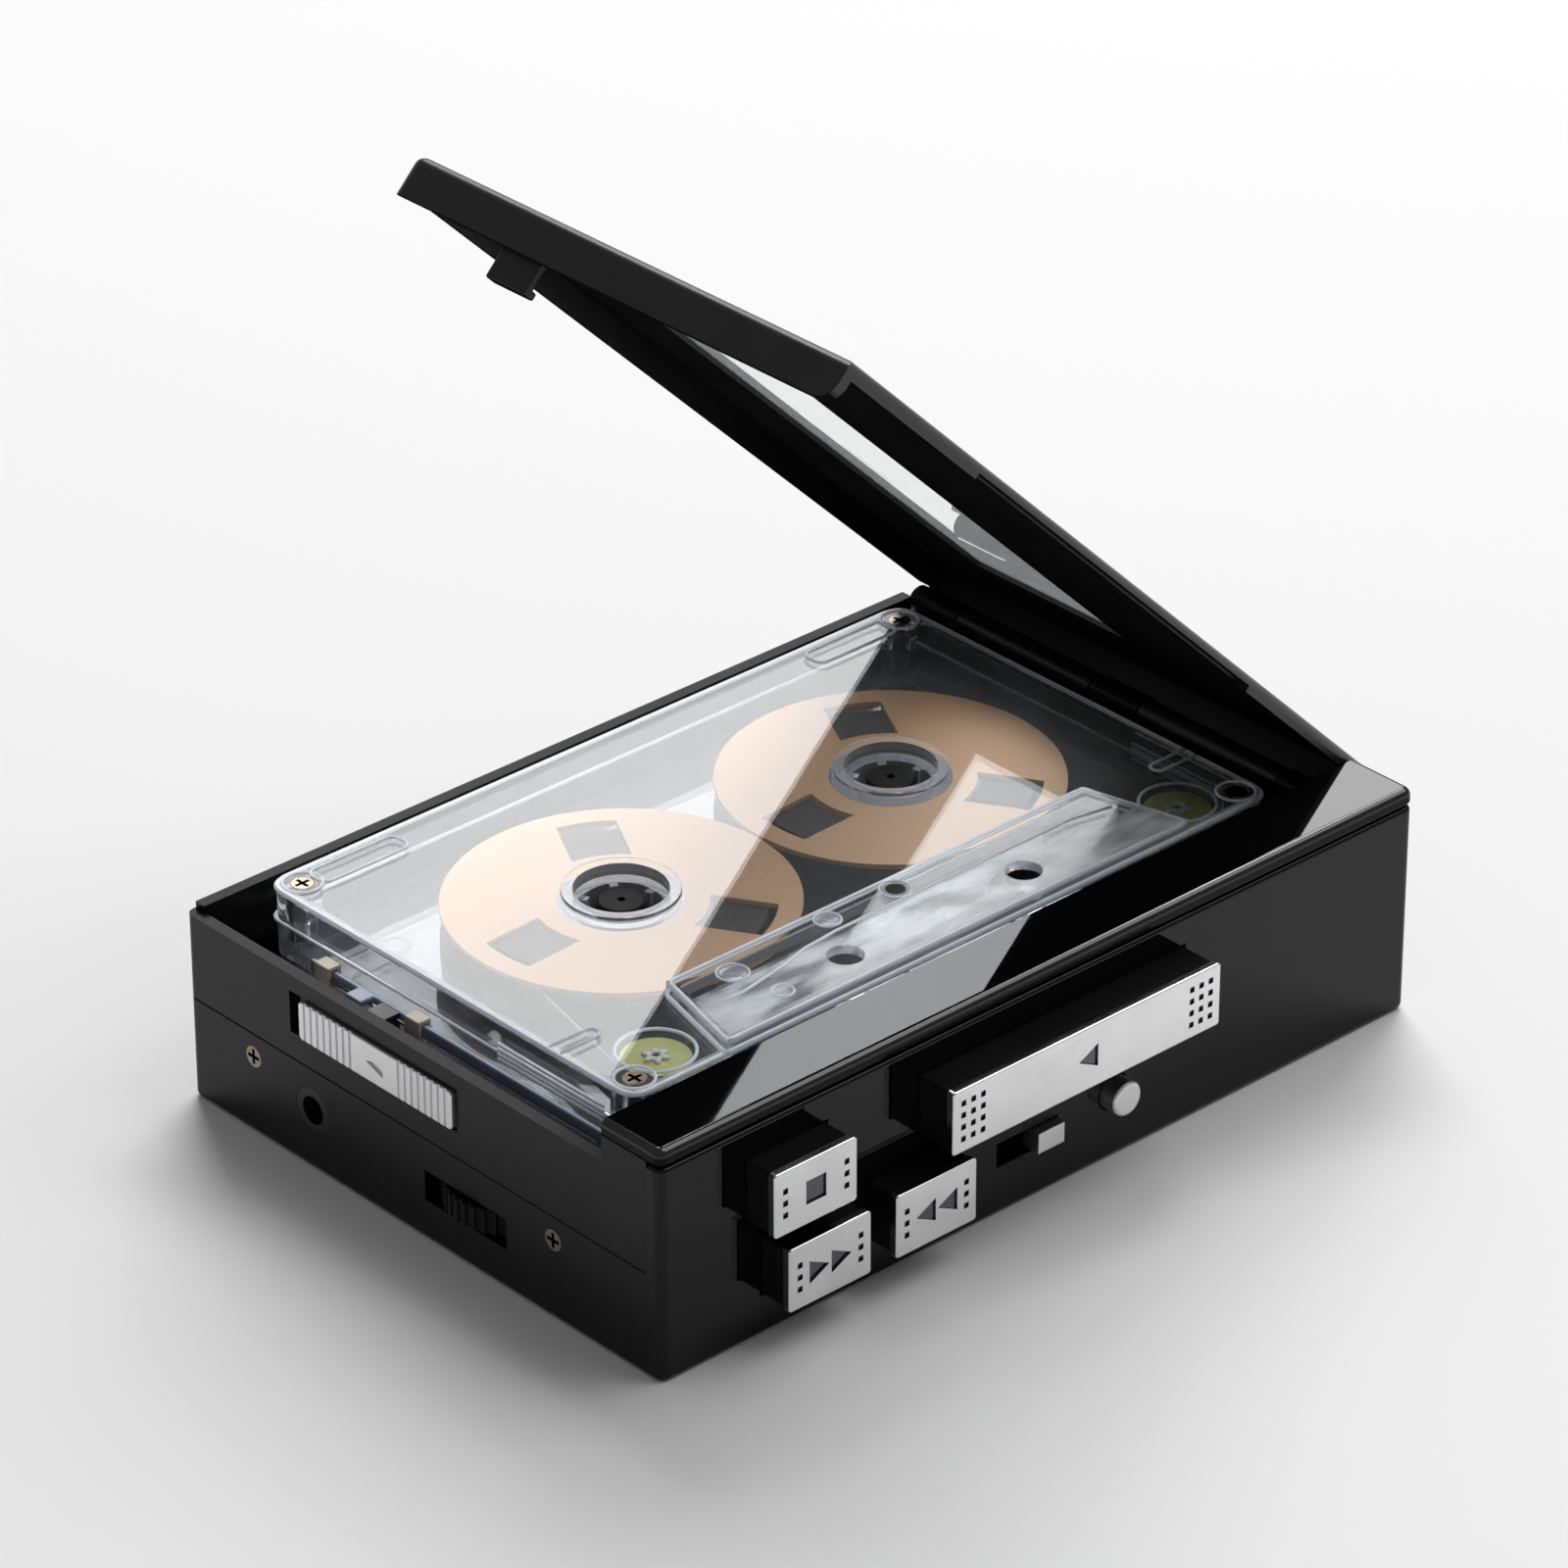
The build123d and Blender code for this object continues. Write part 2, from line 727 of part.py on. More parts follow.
with BuildPart() as deck_screws:
    for post_x, post_y in deck_posts:
        cross_head(post_x, post_y, deck_top + screw_head_thick, (0, 0, 1), screw_head_radius, screw_head_thick,
                   deck_screw_length, screw_radius)
save(deck_screws, "deck_screws")

with BuildPart() as hinge_pin:
    rod_y(hinge_x, hinge_start, hinge_end, hinge_z, hinge_pin_radius)
save(hinge_pin, "hinge_pin")

# Lid shell: plate, free end wall, back wall and hinge wall, open along the front strip
window_u = cassette_x - hinge_x
window_rebate = window_ledge + fit_gap

with BuildPart() as lid_shell:
    lid_block(lid_u0, lid_u1, lid_front, back, lid_low, lid_high)
    lid_block(lid_u0, lid_u0 + lid_wall, lid_front, back, lid_low - lid_end_lip, lid_low)
    uprights = lid_shell.edges().filter_by(Axis((0, 0, 0), lid_frame.z_dir))
    corners = uprights.filter_by(lambda e: e.length > lid_high - lid_low - fit_gap)
    fillet(corners.group_by(Axis.Y)[-1], lid_corner_radius)
    top_face = lid_shell.faces().sort_by(Axis((0, 0, 0), lid_frame.z_dir))[-1]
    fillet(top_face.edges(), lid_edge_radius)
    inner_u0 = lid_u0 + lid_wall
    inner_u1 = lid_u1 - lid_wall
    lip_back = lid_front + lid_lip_width
    lid_block(inner_u0, inner_u1, lip_back, back - lid_wall, lid_low, lid_ceiling, Mode.SUBTRACT)
    lid_block(inner_u0, inner_u1, lid_front, lip_back, lid_low, lid_high - lid_lip, Mode.SUBTRACT)
    notch_u = left + lid_notch_start - hinge_x
    lid_block(notch_u, notch_u + lid_notch_length, lid_front, lip_back, lid_low,
              lid_high - lid_lip + lid_lip_notch, Mode.SUBTRACT)
    lid_block(window_u - window_length / 2, window_u + window_length / 2, hub_y - window_width / 2,
              hub_y + window_width / 2, lid_ceiling, lid_high, Mode.SUBTRACT)
    lid_block(window_u - window_length / 2 - window_rebate, window_u + window_length / 2 + window_rebate,
              hub_y - window_width / 2 - window_rebate, hub_y + window_width / 2 + window_rebate,
              lid_high - window_pane_thick, lid_high, Mode.SUBTRACT)
    # Room for the knuckles of the case, then the knuckles of the lid
    for knuckle_start, knuckle_stop in base_knuckles:
        room_start = knuckle_start - turn_gap - hinge_margin
        room_stop = knuckle_stop + turn_gap + hinge_margin
        lid_block(inner_u1 - lid_wall, lid_u1, room_start, room_stop, lid_low, 0, Mode.SUBTRACT)
        rod_y(hinge_x, room_start, room_stop, hinge_z, barrel_radius + turn_gap, Mode.SUBTRACT)
    for knuckle_start, knuckle_stop in lid_knuckles:
        rod_y(hinge_x, knuckle_start, knuckle_stop, hinge_z, barrel_radius)
        lid_block(inner_u1, lid_u1, knuckle_start, knuckle_stop, 0, lid_ceiling)
    rod_y(hinge_x, hinge_start, hinge_end, hinge_z, hinge_pin_radius + fit_gap, Mode.SUBTRACT)
    # Round lower corner where the free end wall meets the front edge
    across = lid_shell.edges().filter_by(Axis((0, 0, 0), lid_frame.x_dir)).group_by(Axis.Y)[0]
    fillet(across.sort_by(Axis((0, 0, 0), lid_frame.z_dir))[0], lid_end_round)
save(lid_shell, "lid_shell")

with BuildPart() as lid_window:
    lid_block(window_u - window_length / 2 - window_ledge, window_u + window_length / 2 + window_ledge,
              hub_y - window_width / 2 - window_ledge, hub_y + window_width / 2 + window_ledge,
              lid_high - window_pane_thick, lid_high)
save(lid_window, "lid_window")

# Hook inside the free end of the lid
hook_outer = left + wall + hook_gap - hinge_x
hook_inner = hook_outer + hook_thick
hook_v0 = front + hook_from_front - hook_width / 2
hook_v1 = front + hook_from_front + hook_width / 2
hook_low = hook_tip - hinge_z
with BuildPart() as lid_hook:
    lid_block(hook_outer, hook_inner, hook_v0, hook_v1, hook_low, lid_ceiling)
    lid_block(lid_u0 + lid_wall, hook_inner, hook_v0, hook_v1, lid_low + seam_gap, lid_ceiling)
    lid_block(hook_outer, hook_inner + hook_nose, hook_v0, hook_v1, hook_low, hook_low + hook_nose_height)
save(lid_hook, "lid_hook")


def key_mark(name):
    """Outline of the transport mark, seen from the front of its cap."""
    half = mark_size / 2
    shifts = (-half - mark_gap / 2, half + mark_gap / 2)
    if name == "stop":
        Rectangle(mark_size, mark_size)
    if name == "play":
        Polygon((half, half), (-half, 0), (half, -half), align=None)
    if name == "forward":
        for shift in shifts:
            Polygon((shift + half, half), (shift - half, 0), (shift + half, -half), align=None)
    if name == "rewind":
        for shift in shifts:
            Polygon((shift - half, half), (shift + half, 0), (shift - half, -half), align=None)


# Keys with their chrome caps
for key_name, key_x, row, key_width, reach, tail in keys:
    body_half = key_width / 2 - cap_lip
    body_rise = key_height / 2 - cap_lip
    cap_front = front - reach
    with BuildPart() as key_body:
        block(key_x - body_half, key_x + body_half, cap_front + cap_thick, tail_back, row - body_rise,
              row + body_rise)
        fillet(key_body.edges().filter_by(Axis.Y), key_edge)
        block(key_x - key_width / 2 - tail, key_x + key_width / 2 + tail, tail_back - key_tail, tail_back,
              row - body_rise + key_tail_inset, row + body_rise - key_tail_inset)
        if key_name == "play":
            block(cassette_x - pusher_width / 2, cassette_x + pusher_width / 2, tail_back - key_tail, tail_back,
                  bridge_bottom, row)
    save(key_body, f"{key_name}_key")
    columns = play_stud_columns if key_name == "play" else stud_columns
    rows = play_stud_rows if key_name == "play" else stud_rows
    stud_middle = key_width / 2 - stud_margin - (columns - 1) * stud_pitch_x / 2
    face_plane = Plane(origin=(key_x, cap_front, row), x_dir=(1, 0, 0), z_dir=(0, -1, 0))
    with BuildPart() as key_cap:
        block(key_x - key_width / 2, key_x + key_width / 2, cap_front, cap_front + cap_thick,
              row - key_height / 2, row + key_height / 2)
        fillet(key_cap.edges().filter_by(Axis.Y), cap_round)
        fillet(key_cap.faces().sort_by(Axis.Y)[0].edges(), cap_edge)
        with BuildSketch(face_plane):
            key_mark(key_name)
            with Locations((-stud_middle, 0), (stud_middle, 0)):
                with GridLocations(stud_pitch_x, stud_pitch_z, columns, rows):
                    Rectangle(stud_size, stud_size)
        extrude(amount=-mark_depth, mode=Mode.SUBTRACT)
    save(key_cap, f"{key_name}_key_cap")


def leaf_spring(x, span, tail_y, post_y, z):
    """Bent leaf between the tail of a key and the post behind it."""
    tip = tail_y + spring_thick / 2
    foot_y = post_y
    with BuildSketch(Plane.XY.offset(z - spring_height / 2)) as leaf:
        with BuildLine():
            Polyline(
                (x - span, foot_y),
                (x, tip),
                (x + span, foot_y),
                (x + span - spring_thick, foot_y),
                (x, tip + 2 * spring_thick),
                (x - span + spring_thick, foot_y),
                close=True,
            )
        make_face()
    extrude(leaf.sketch, amount=spring_height)


with BuildPart() as key_springs:
    for key_name, key_x, row, key_width, reach, tail in keys:
        if key_name == "play":
            for ear in (-1, 1):
                leaf_spring(key_x + ear * play_ear_middle, play_spring_span, tail_back,
                            spring_post_front + key_tail, row)
        else:
            leaf_spring(key_x, spring_span, tail_back, spring_post_front, row)
save(key_springs, "key_springs")

# Head bridge, pushed by the play key, with the playback head and the pinch roller
head_front = tape_line - turn_gap - play_travel
pinch_y = head_front - pinch_radius
head_bottom = cassette_mid - head_height / 2
pinch_bottom = cassette_mid - pinch_height / 2

with BuildPart() as head_bridge:
    block(bridge_left, bridge_right, bridge_front, bridge_back, bridge_bottom, bridge_top)
    block(cassette_x - head_length / 2 + head_round, cassette_x + head_length / 2 - head_round,
          bridge_back - head_bracket_depth, bridge_back, bridge_bottom, head_bottom)
    post(capstan_x, pinch_y, bridge_bottom, pinch_bottom - seam_gap, pinch_stud_radius + pinch_collar)
    post(capstan_x, pinch_y, bridge_bottom, pinch_bottom + pinch_height, pinch_stud_radius)
save(head_bridge, "head_bridge")

with BuildPart() as playback_head:
    block(cassette_x - head_length / 2, cassette_x + head_length / 2, head_front - head_depth, head_front,
          head_bottom, head_bottom + head_height)
    fillet(playback_head.edges().filter_by(Axis.Z).group_by(Axis.Y)[-1], head_round)
save(playback_head, "playback_head")

with BuildPart() as pinch_roller:
    pinch_top = pinch_bottom + pinch_height
    post(capstan_x, pinch_y, pinch_bottom, pinch_top, pinch_radius)
    post(capstan_x, pinch_y, pinch_bottom, pinch_top, pinch_stud_radius + fit_gap, Mode.SUBTRACT)
save(pinch_roller, "pinch_roller")

# Latch slider in its slot, with ribbed ends and a plain arrow, and the bar behind it
slider_y = front + slider_from_front
slider_low = slider_middle - slider_height / 2
slider_high = slider_middle + slider_height / 2
flange_x = left + wall + slide_gap
tongue_y = front + tongue_from_front
slider_flange_y = front + slider_flange_from_front
bar_x = left + latch_bar_from_left
bar_y = front + latch_bar_from_front

with BuildPart() as latch_slider:
    block(left - slider_reach, flange_x + slider_flange_thick, slider_y - slider_length / 2,
          slider_y + slider_length / 2, slider_low, slider_high)
    fillet(latch_slider.edges().filter_by(Axis.X), slider_round)
    fillet(latch_slider.faces().sort_by(Axis.X)[0].edges(), slider_edge)
    block(left + slider_depth, flange_x + slider_flange_thick, slider_y + slider_length / 2 - slider_relief,
          slider_y + slider_length / 2, slider_low, slider_high, Mode.SUBTRACT)
    for end in (-1, 1):
        for i in range(rib_count):
            rib_y = slider_y + end * (slider_length / 2 - rib_margin - rib_groove / 2 - i * rib_pitch)
            block(left - slider_reach, left - slider_reach + rib_depth, rib_y - rib_groove / 2,
                  rib_y + rib_groove / 2, slider_low, slider_high, Mode.SUBTRACT)
    with BuildSketch(Plane(origin=(left - slider_reach, slider_y, slider_middle), x_dir=(0, -1, 0),
                           z_dir=(-1, 0, 0))):
        Polygon((-arrow_length / 2, 0), (arrow_length / 2, arrow_height / 2),
                (arrow_length / 2, -arrow_height / 2), align=None)
    extrude(amount=-mark_depth, mode=Mode.SUBTRACT)
    block(flange_x, flange_x + slider_flange_thick, slider_flange_y, slider_flange_y + slider_flange_length,
          slider_middle - slider_flange_height / 2, slider_middle + slider_flange_height / 2)
    block(flange_x, bar_x, tongue_y, tongue_y + tongue_width, slider_middle, bar_high)
save(latch_slider, "latch_slider")

catch_stop = hook_v0 - hook_gap
with BuildPart() as latch_bar:
    block(bar_x, bar_x + latch_bar_thick, bar_y - latch_bar_length / 2, bar_y + latch_bar_length / 2,
          bar_low, bar_high)
    block(hook_inner + hinge_x + slide_gap, bar_x + latch_bar_thick, catch_stop - catch_length, catch_stop,
          bar_high - catch_height, bar_high)
save(latch_bar, "latch_bar")

with BuildPart() as latch_clips:
    for clip_from_front in (clip_front_from_front, clip_back_from_front):
        clip_y = front + clip_from_front
        block(bar_x - clip_wall, bar_x + latch_bar_thick + clip_wall, clip_y - clip_length / 2,
              clip_y + clip_length / 2, bar_low - clip_wall, bar_high + clip_wall)
    block(bar_x - fit_gap, bar_x + latch_bar_thick + fit_gap, front, back, bar_low - fit_gap,
          bar_high + fit_gap, Mode.SUBTRACT)
save(latch_clips, "latch_clips")

# Switch, push button and what they work
with BuildPart() as mode_switch_knob:
    knob_rise = switch_knob_height / 2
    block(switch_x - switch_knob_width / 2, switch_x + switch_knob_width / 2, front - switch_knob_reach,
          front + panel_thick / 2, switch_height - knob_rise, switch_height + knob_rise)
    fillet(mode_switch_knob.faces().sort_by(Axis.Y)[0].edges(), switch_knob_edge)
    block(switch_x - switch_stem_height / 2, switch_x + switch_stem_height / 2, front,
          panel_back + switch_stem_depth, switch_height - switch_stem_height / 2,
          switch_height + switch_stem_height / 2)
save(mode_switch_knob, "mode_switch_knob")

with BuildPart() as mode_switch_body:
    block(switch_slot_left - switch_body_margin, switch_slot_right + switch_body_margin, panel_back,
          panel_back + switch_body_depth, switch_height - switch_body_height / 2,
          switch_height + switch_body_height / 2)
    stem_half = switch_stem_height / 2 + slide_gap
    block(switch_slot_left, switch_slot_right, panel_back, panel_back + switch_stem_depth + slide_gap,
          switch_height - stem_half, switch_height + stem_half, Mode.SUBTRACT)
save(mode_switch_body, "mode_switch_body")

with BuildPart() as round_button:
    rod_y(button_x, front - button_reach, button_back, button_height, button_radius)
    fillet(round_button.edges().sort_by(Axis.Y)[0], button_round)
    rod_y(button_x, button_flange_front, button_back, button_height, button_radius + button_flange)
save(round_button, "round_button")

with BuildPart() as button_switch:
    block(button_x - button_switch_size / 2, button_x + button_switch_size / 2, button_switch_front,
          button_switch_front + button_switch_depth, board_top, button_height + button_switch_size / 2)
save(button_switch, "button_switch")

# Headphone jack, volume wheel and its pot, charging socket, board and battery
jack_y = front + jack_from_front
with BuildPart() as headphone_jack:
    block(left + wall + fit_gap, left + jack_bore_depth + jack_end_wall, jack_y - jack_body_width / 2,
          jack_y + jack_body_width / 2, board_top, 2 * jack_height - board_top)
    rod_x(left, left + wall + 2 * fit_gap, jack_y, jack_height, jack_nose_radius)
    rod_x(left, left + jack_bore_depth, jack_y, jack_height, jack_bore, Mode.SUBTRACT)
save(headphone_jack, "headphone_jack")

wheel_low = wheel_height - wheel_thick / 2
wheel_high = wheel_height + wheel_thick / 2
with BuildPart() as volume_wheel:
    post(wheel_x, wheel_y, wheel_low, wheel_high, wheel_radius)
    with BuildSketch(Plane.XY.offset(wheel_low)):
        with Locations((wheel_x, wheel_y)):
            with PolarLocations(wheel_radius, wheel_notches):
                Circle(wheel_notch)
    extrude(amount=wheel_thick, mode=Mode.SUBTRACT)
    post(wheel_x, wheel_y, wheel_low, wheel_high, wheel_shaft_radius + fit_gap, Mode.SUBTRACT)
save(volume_wheel, "volume_wheel")

with BuildPart() as volume_pot:
    post(wheel_x, wheel_y, board_top, wheel_low - seam_gap, pot_radius)
    post(wheel_x, wheel_y, board_top, wheel_high, wheel_shaft_radius)
save(volume_pot, "volume_pot")

with BuildPart() as circuit_board:
    board_back = back - wall - board_back_gap
    board_bottom = board_top - board_thick
    block(board_left, board_left + board_length, front + board_front, board_back, board_bottom, board_top)
    block(board_left, board_left + board_notch, board_back - board_notch, board_back, board_bottom, board_top,
          Mode.SUBTRACT)
save(circuit_board, "circuit_board")

with BuildPart() as charge_socket:
    block(socket_x - socket_width / 2, socket_x + socket_width / 2, back - socket_depth, back, board_top,
          board_top + socket_height)
    block(socket_x - socket_width / 2 + socket_wall, socket_x + socket_width / 2 - socket_wall,
          back - socket_depth + socket_wall, back, board_top + socket_wall,
          board_top + socket_height - socket_wall, Mode.SUBTRACT)
save(charge_socket, "charge_socket")

with BuildPart() as battery:
    block(board_left + board_length + battery_board_gap, right - battery_from_right,
          capstan_y + flywheel_radius + battery_front_gap, back - wall - battery_back_gap, floor_thick,
          floor_thick + battery_thick)
    fillet(battery.edges().filter_by(Axis.Z), corner_radius)
save(battery, "battery")

# Drive: motor, pulley, belt, flywheel, capstan, idler
motor_x = right - motor_from_right
motor_y = capstan_y
groove_low = flywheel_bottom + (flywheel_thick - groove_width) / 2
groove_high = groove_low + groove_width
motor_bottom = flywheel_bottom + flywheel_thick + motor_clearance

with BuildPart() as motor:
    post(motor_x, motor_y, motor_bottom, deck_bottom, motor_radius)
    post(motor_x, motor_y, motor_bottom, motor_bottom + motor_shaft_seat, motor_shaft_radius + fit_gap,
         Mode.SUBTRACT)
    fillet(motor.faces().sort_by(Axis.Z)[0].outer_wire().edges(), key_edge)
save(motor, "motor")

with BuildPart() as motor_pulley:
    post(motor_x, motor_y, flywheel_bottom, groove_low, pulley_radius)
    post(motor_x, motor_y, groove_low, groove_high, pulley_radius - groove_depth)
    post(motor_x, motor_y, groove_high, flywheel_bottom + flywheel_thick - thrust_gap, pulley_radius)
    post(motor_x, motor_y, flywheel_bottom, motor_bottom + motor_shaft_seat - seam_gap, motor_shaft_radius)
save(motor_pulley, "motor_pulley")

with BuildPart() as flywheel:
    post(capstan_x, capstan_y, flywheel_bottom, groove_low, flywheel_radius)
    post(capstan_x, capstan_y, groove_low, groove_high, flywheel_radius - groove_depth)
    post(capstan_x, capstan_y, groove_high, flywheel_bottom + flywheel_thick, flywheel_radius)
    post(capstan_x, capstan_y, flywheel_bottom, rim_bottom + rim_thick, flywheel_hub_radius)
    post(capstan_x, capstan_y, flywheel_bottom, rim_bottom + rim_thick, capstan_radius + fit_gap, Mode.SUBTRACT)
save(flywheel, "flywheel")

with BuildPart() as capstan:
    capstan_top = cassette_mid + head_window_height / 2
    post(capstan_x, capstan_y, flywheel_bottom - thrust_gap, capstan_top, capstan_radius)
save(capstan, "capstan")

with BuildPart() as capstan_bearing:
    bearing_top = deck_top + seam_gap
    bearing_bottom = bearing_top - bearing_length
    post(capstan_x, capstan_y, bearing_bottom, bearing_top, bearing_radius)
    post(capstan_x, capstan_y, bearing_bottom, bearing_top, capstan_radius + fit_gap, Mode.SUBTRACT)
save(capstan_bearing, "capstan_bearing")

belt_low = (groove_low + groove_high - belt_width) / 2
with BuildPart() as drive_belt:
    for belt_offset, belt_mode in ((fit_gap + belt_thick, Mode.ADD), (fit_gap, Mode.SUBTRACT)):
        with BuildSketch(Plane.XY.offset(belt_low)):
            with Locations((capstan_x, capstan_y)):
                Circle(flywheel_radius - groove_depth + belt_offset)
            with Locations((motor_x, motor_y)):
                Circle(pulley_radius - groove_depth + belt_offset)
            make_hull()
        extrude(amount=belt_width, mode=belt_mode)
save(drive_belt, "drive_belt")

with BuildPart() as idler_wheel:
    post(idler_x, idler_y, idler_bottom, idler_bottom + idler_thick, idler_radius)
    post(idler_x, idler_y, idler_bottom, idler_bottom + idler_thick, idler_stud_radius + fit_gap, Mode.SUBTRACT)
save(idler_wheel, "idler_wheel")

with BuildPart() as spindle_bushes:
    for hub_x in (left_hub_x, right_hub_x):
        bush_radius = spindle_shaft_radius + bush_wall
        post(hub_x, hub_y, deck_bottom - bush_flange, deck_top + bush_flange, bush_radius)
        post(hub_x, hub_y, deck_top, deck_top + bush_flange, bush_radius + bush_flange)
        post(hub_x, hub_y, deck_bottom - bush_flange, deck_top + bush_flange, spindle_shaft_radius + fit_gap,
             Mode.SUBTRACT)
save(spindle_bushes, "spindle_bushes")

# Cassette: two clear halves on the middle plane
trapezoid = [
    (-head_end_front / 2, 0),
    (head_end_front / 2, 0),
    (head_end_back / 2, head_end_depth),
    (-head_end_back / 2, head_end_depth),
]
cassette_screws_at = [
    (cassette_x + i * (cassette_length / 2 - cassette_screw_inset),
     cassette_y + j * (cassette_width / 2 - cassette_screw_inset))
    for i in (-1, 1) for j in (-1, 1)
]
half_thick = cassette_thick / 2
mid_plane = Plane.XY.offset(cassette_mid)


def cassette_shell(side):
    """One half of the cassette, upwards for side 1 and downwards for side -1."""
    inner = side * (half_thick - cassette_wall)
    with BuildSketch(mid_plane) as outline:
        with Locations((cassette_x, cassette_y)):
            RectangleRounded(cassette_length, cassette_width, cassette_corner)
    extrude(outline.sketch, amount=side * half_thick)
    with BuildSketch(mid_plane) as head_end:
        with Locations((cassette_x, cassette_front)):
            Polygon(*trapezoid, align=None)
    extrude(head_end.sketch, amount=side * (half_thick + head_end_step))
    with BuildSketch(mid_plane) as cavity:
        with Locations((cassette_x, cassette_y)):
            RectangleRounded(cassette_length - 2 * cassette_wall, cassette_width - 2 * cassette_wall,
                             cassette_corner - cassette_wall)
    extrude(cavity.sketch, amount=inner, mode=Mode.SUBTRACT)
    with BuildSketch(mid_plane) as head_cavity:
        with Locations((cassette_x, cassette_front)):
            Polygon(*trapezoid, align=None)
        offset(amount=-cassette_wall, kind=Kind.INTERSECTION, mode=Mode.REPLACE)
    extrude(head_cavity.sketch, amount=inner + side * head_end_step, mode=Mode.SUBTRACT)
    with BuildSketch(mid_plane) as bosses:
        with Locations(*cassette_screws_at):
            Circle(cassette_boss_radius)
    extrude(bosses.sketch, amount=inner + side * fit_gap)
    # Collars round the hub holes
    with BuildSketch(mid_plane.offset(inner)) as collars:
        with Locations((left_hub_x, hub_y), (right_hub_x, hub_y)):
            Circle(hub_hole_radius + collar_width)
    extrude(collars.sketch, amount=side * (cassette_wall + collar_height))
    with BuildSketch(mid_plane) as holes:
        with Locations((left_hub_x, hub_y), (right_hub_x, hub_y)):
            Circle(hub_hole_radius)
        with Locations((cassette_x - capstan_from_middle, cassette_front + capstan_hole_from_front),
                       (cassette_x + capstan_from_middle, cassette_front + capstan_hole_from_front)):
            Circle(capstan_hole_radius)
    extrude(holes.sketch, amount=side * (half_thick + head_end_step), mode=Mode.SUBTRACT)
    # Windows in the head end
    low, high = sorted((cassette_mid, cassette_mid + side * head_window_height / 2))
    for window_x, window_span in (
        (cassette_x, head_window_length),
        (cassette_x - capstan_from_middle, pinch_window_length),
        (cassette_x + capstan_from_middle, pinch_window_length),
    ):
        block(window_x - window_span / 2, window_x + window_span / 2, cassette_front,
              cassette_front + cassette_wall, low, high, Mode.SUBTRACT)


with BuildPart() as cassette_upper_shell:
    cassette_shell(1)
    for screw_x, screw_y in cassette_screws_at:
        top = cassette_mid + half_thick
        post(screw_x, screw_y, cassette_mid, top, screw_radius + fit_gap, Mode.SUBTRACT)
        post(screw_x, screw_y, top - screw_head_thick, top, screw_head_radius + fit_gap, Mode.SUBTRACT)
save(cassette_upper_shell, "cassette_upper_shell")

with BuildPart() as cassette_lower_shell:
    cassette_shell(-1)
    for guide_x in guides:
        post(guide_x, guide_y, cassette_bottom + cassette_wall - fit_gap, cassette_mid + guide_height / 2,
             guide_pin_radius)
    for screw_x, screw_y in cassette_screws_at:
        post(screw_x, screw_y, cassette_mid + half_thick - cassette_screw_length, cassette_mid,
             screw_radius + fit_gap, Mode.SUBTRACT)
save(cassette_lower_shell, "cassette_lower_shell")

with BuildPart() as cassette_screws:
    for screw_x, screw_y in cassette_screws_at:
        cross_head(screw_x, screw_y, cassette_mid + half_thick, (0, 0, 1), screw_head_radius, screw_head_thick,
                   cassette_screw_length, screw_radius)
save(cassette_screws, "cassette_screws")

with BuildPart() as pressure_pad:
    block(cassette_x - pad_length / 2, cassette_x + pad_length / 2, tape_line + turn_gap + tape_thick,
          tape_line + turn_gap + tape_thick + pad_depth, cassette_mid - tape_width / 2,
          cassette_mid + tape_width / 2)
save(pressure_pad, "pressure_pad")

# Tape from the left pack round both guides to the right pack
with BuildPart() as tape_run:
    for tape_offset, tape_mode in ((fit_gap + tape_thick, Mode.ADD), (fit_gap, Mode.SUBTRACT)):
        with BuildSketch(Plane.XY.offset(cassette_mid - tape_width / 2)):
            with Locations((left_hub_x, hub_y), (right_hub_x, hub_y)):
                Circle(pack_radius + tape_offset)
            with Locations((guides[0], guide_y), (guides[1], guide_y)):
                Circle(guide_radius + tape_offset)
            make_hull()
        extrude(amount=tape_width, mode=tape_mode)
    block(left, right, hub_y, back, cassette_mid - tape_width, cassette_mid + tape_width, Mode.SUBTRACT)
save(tape_run, "tape_run")

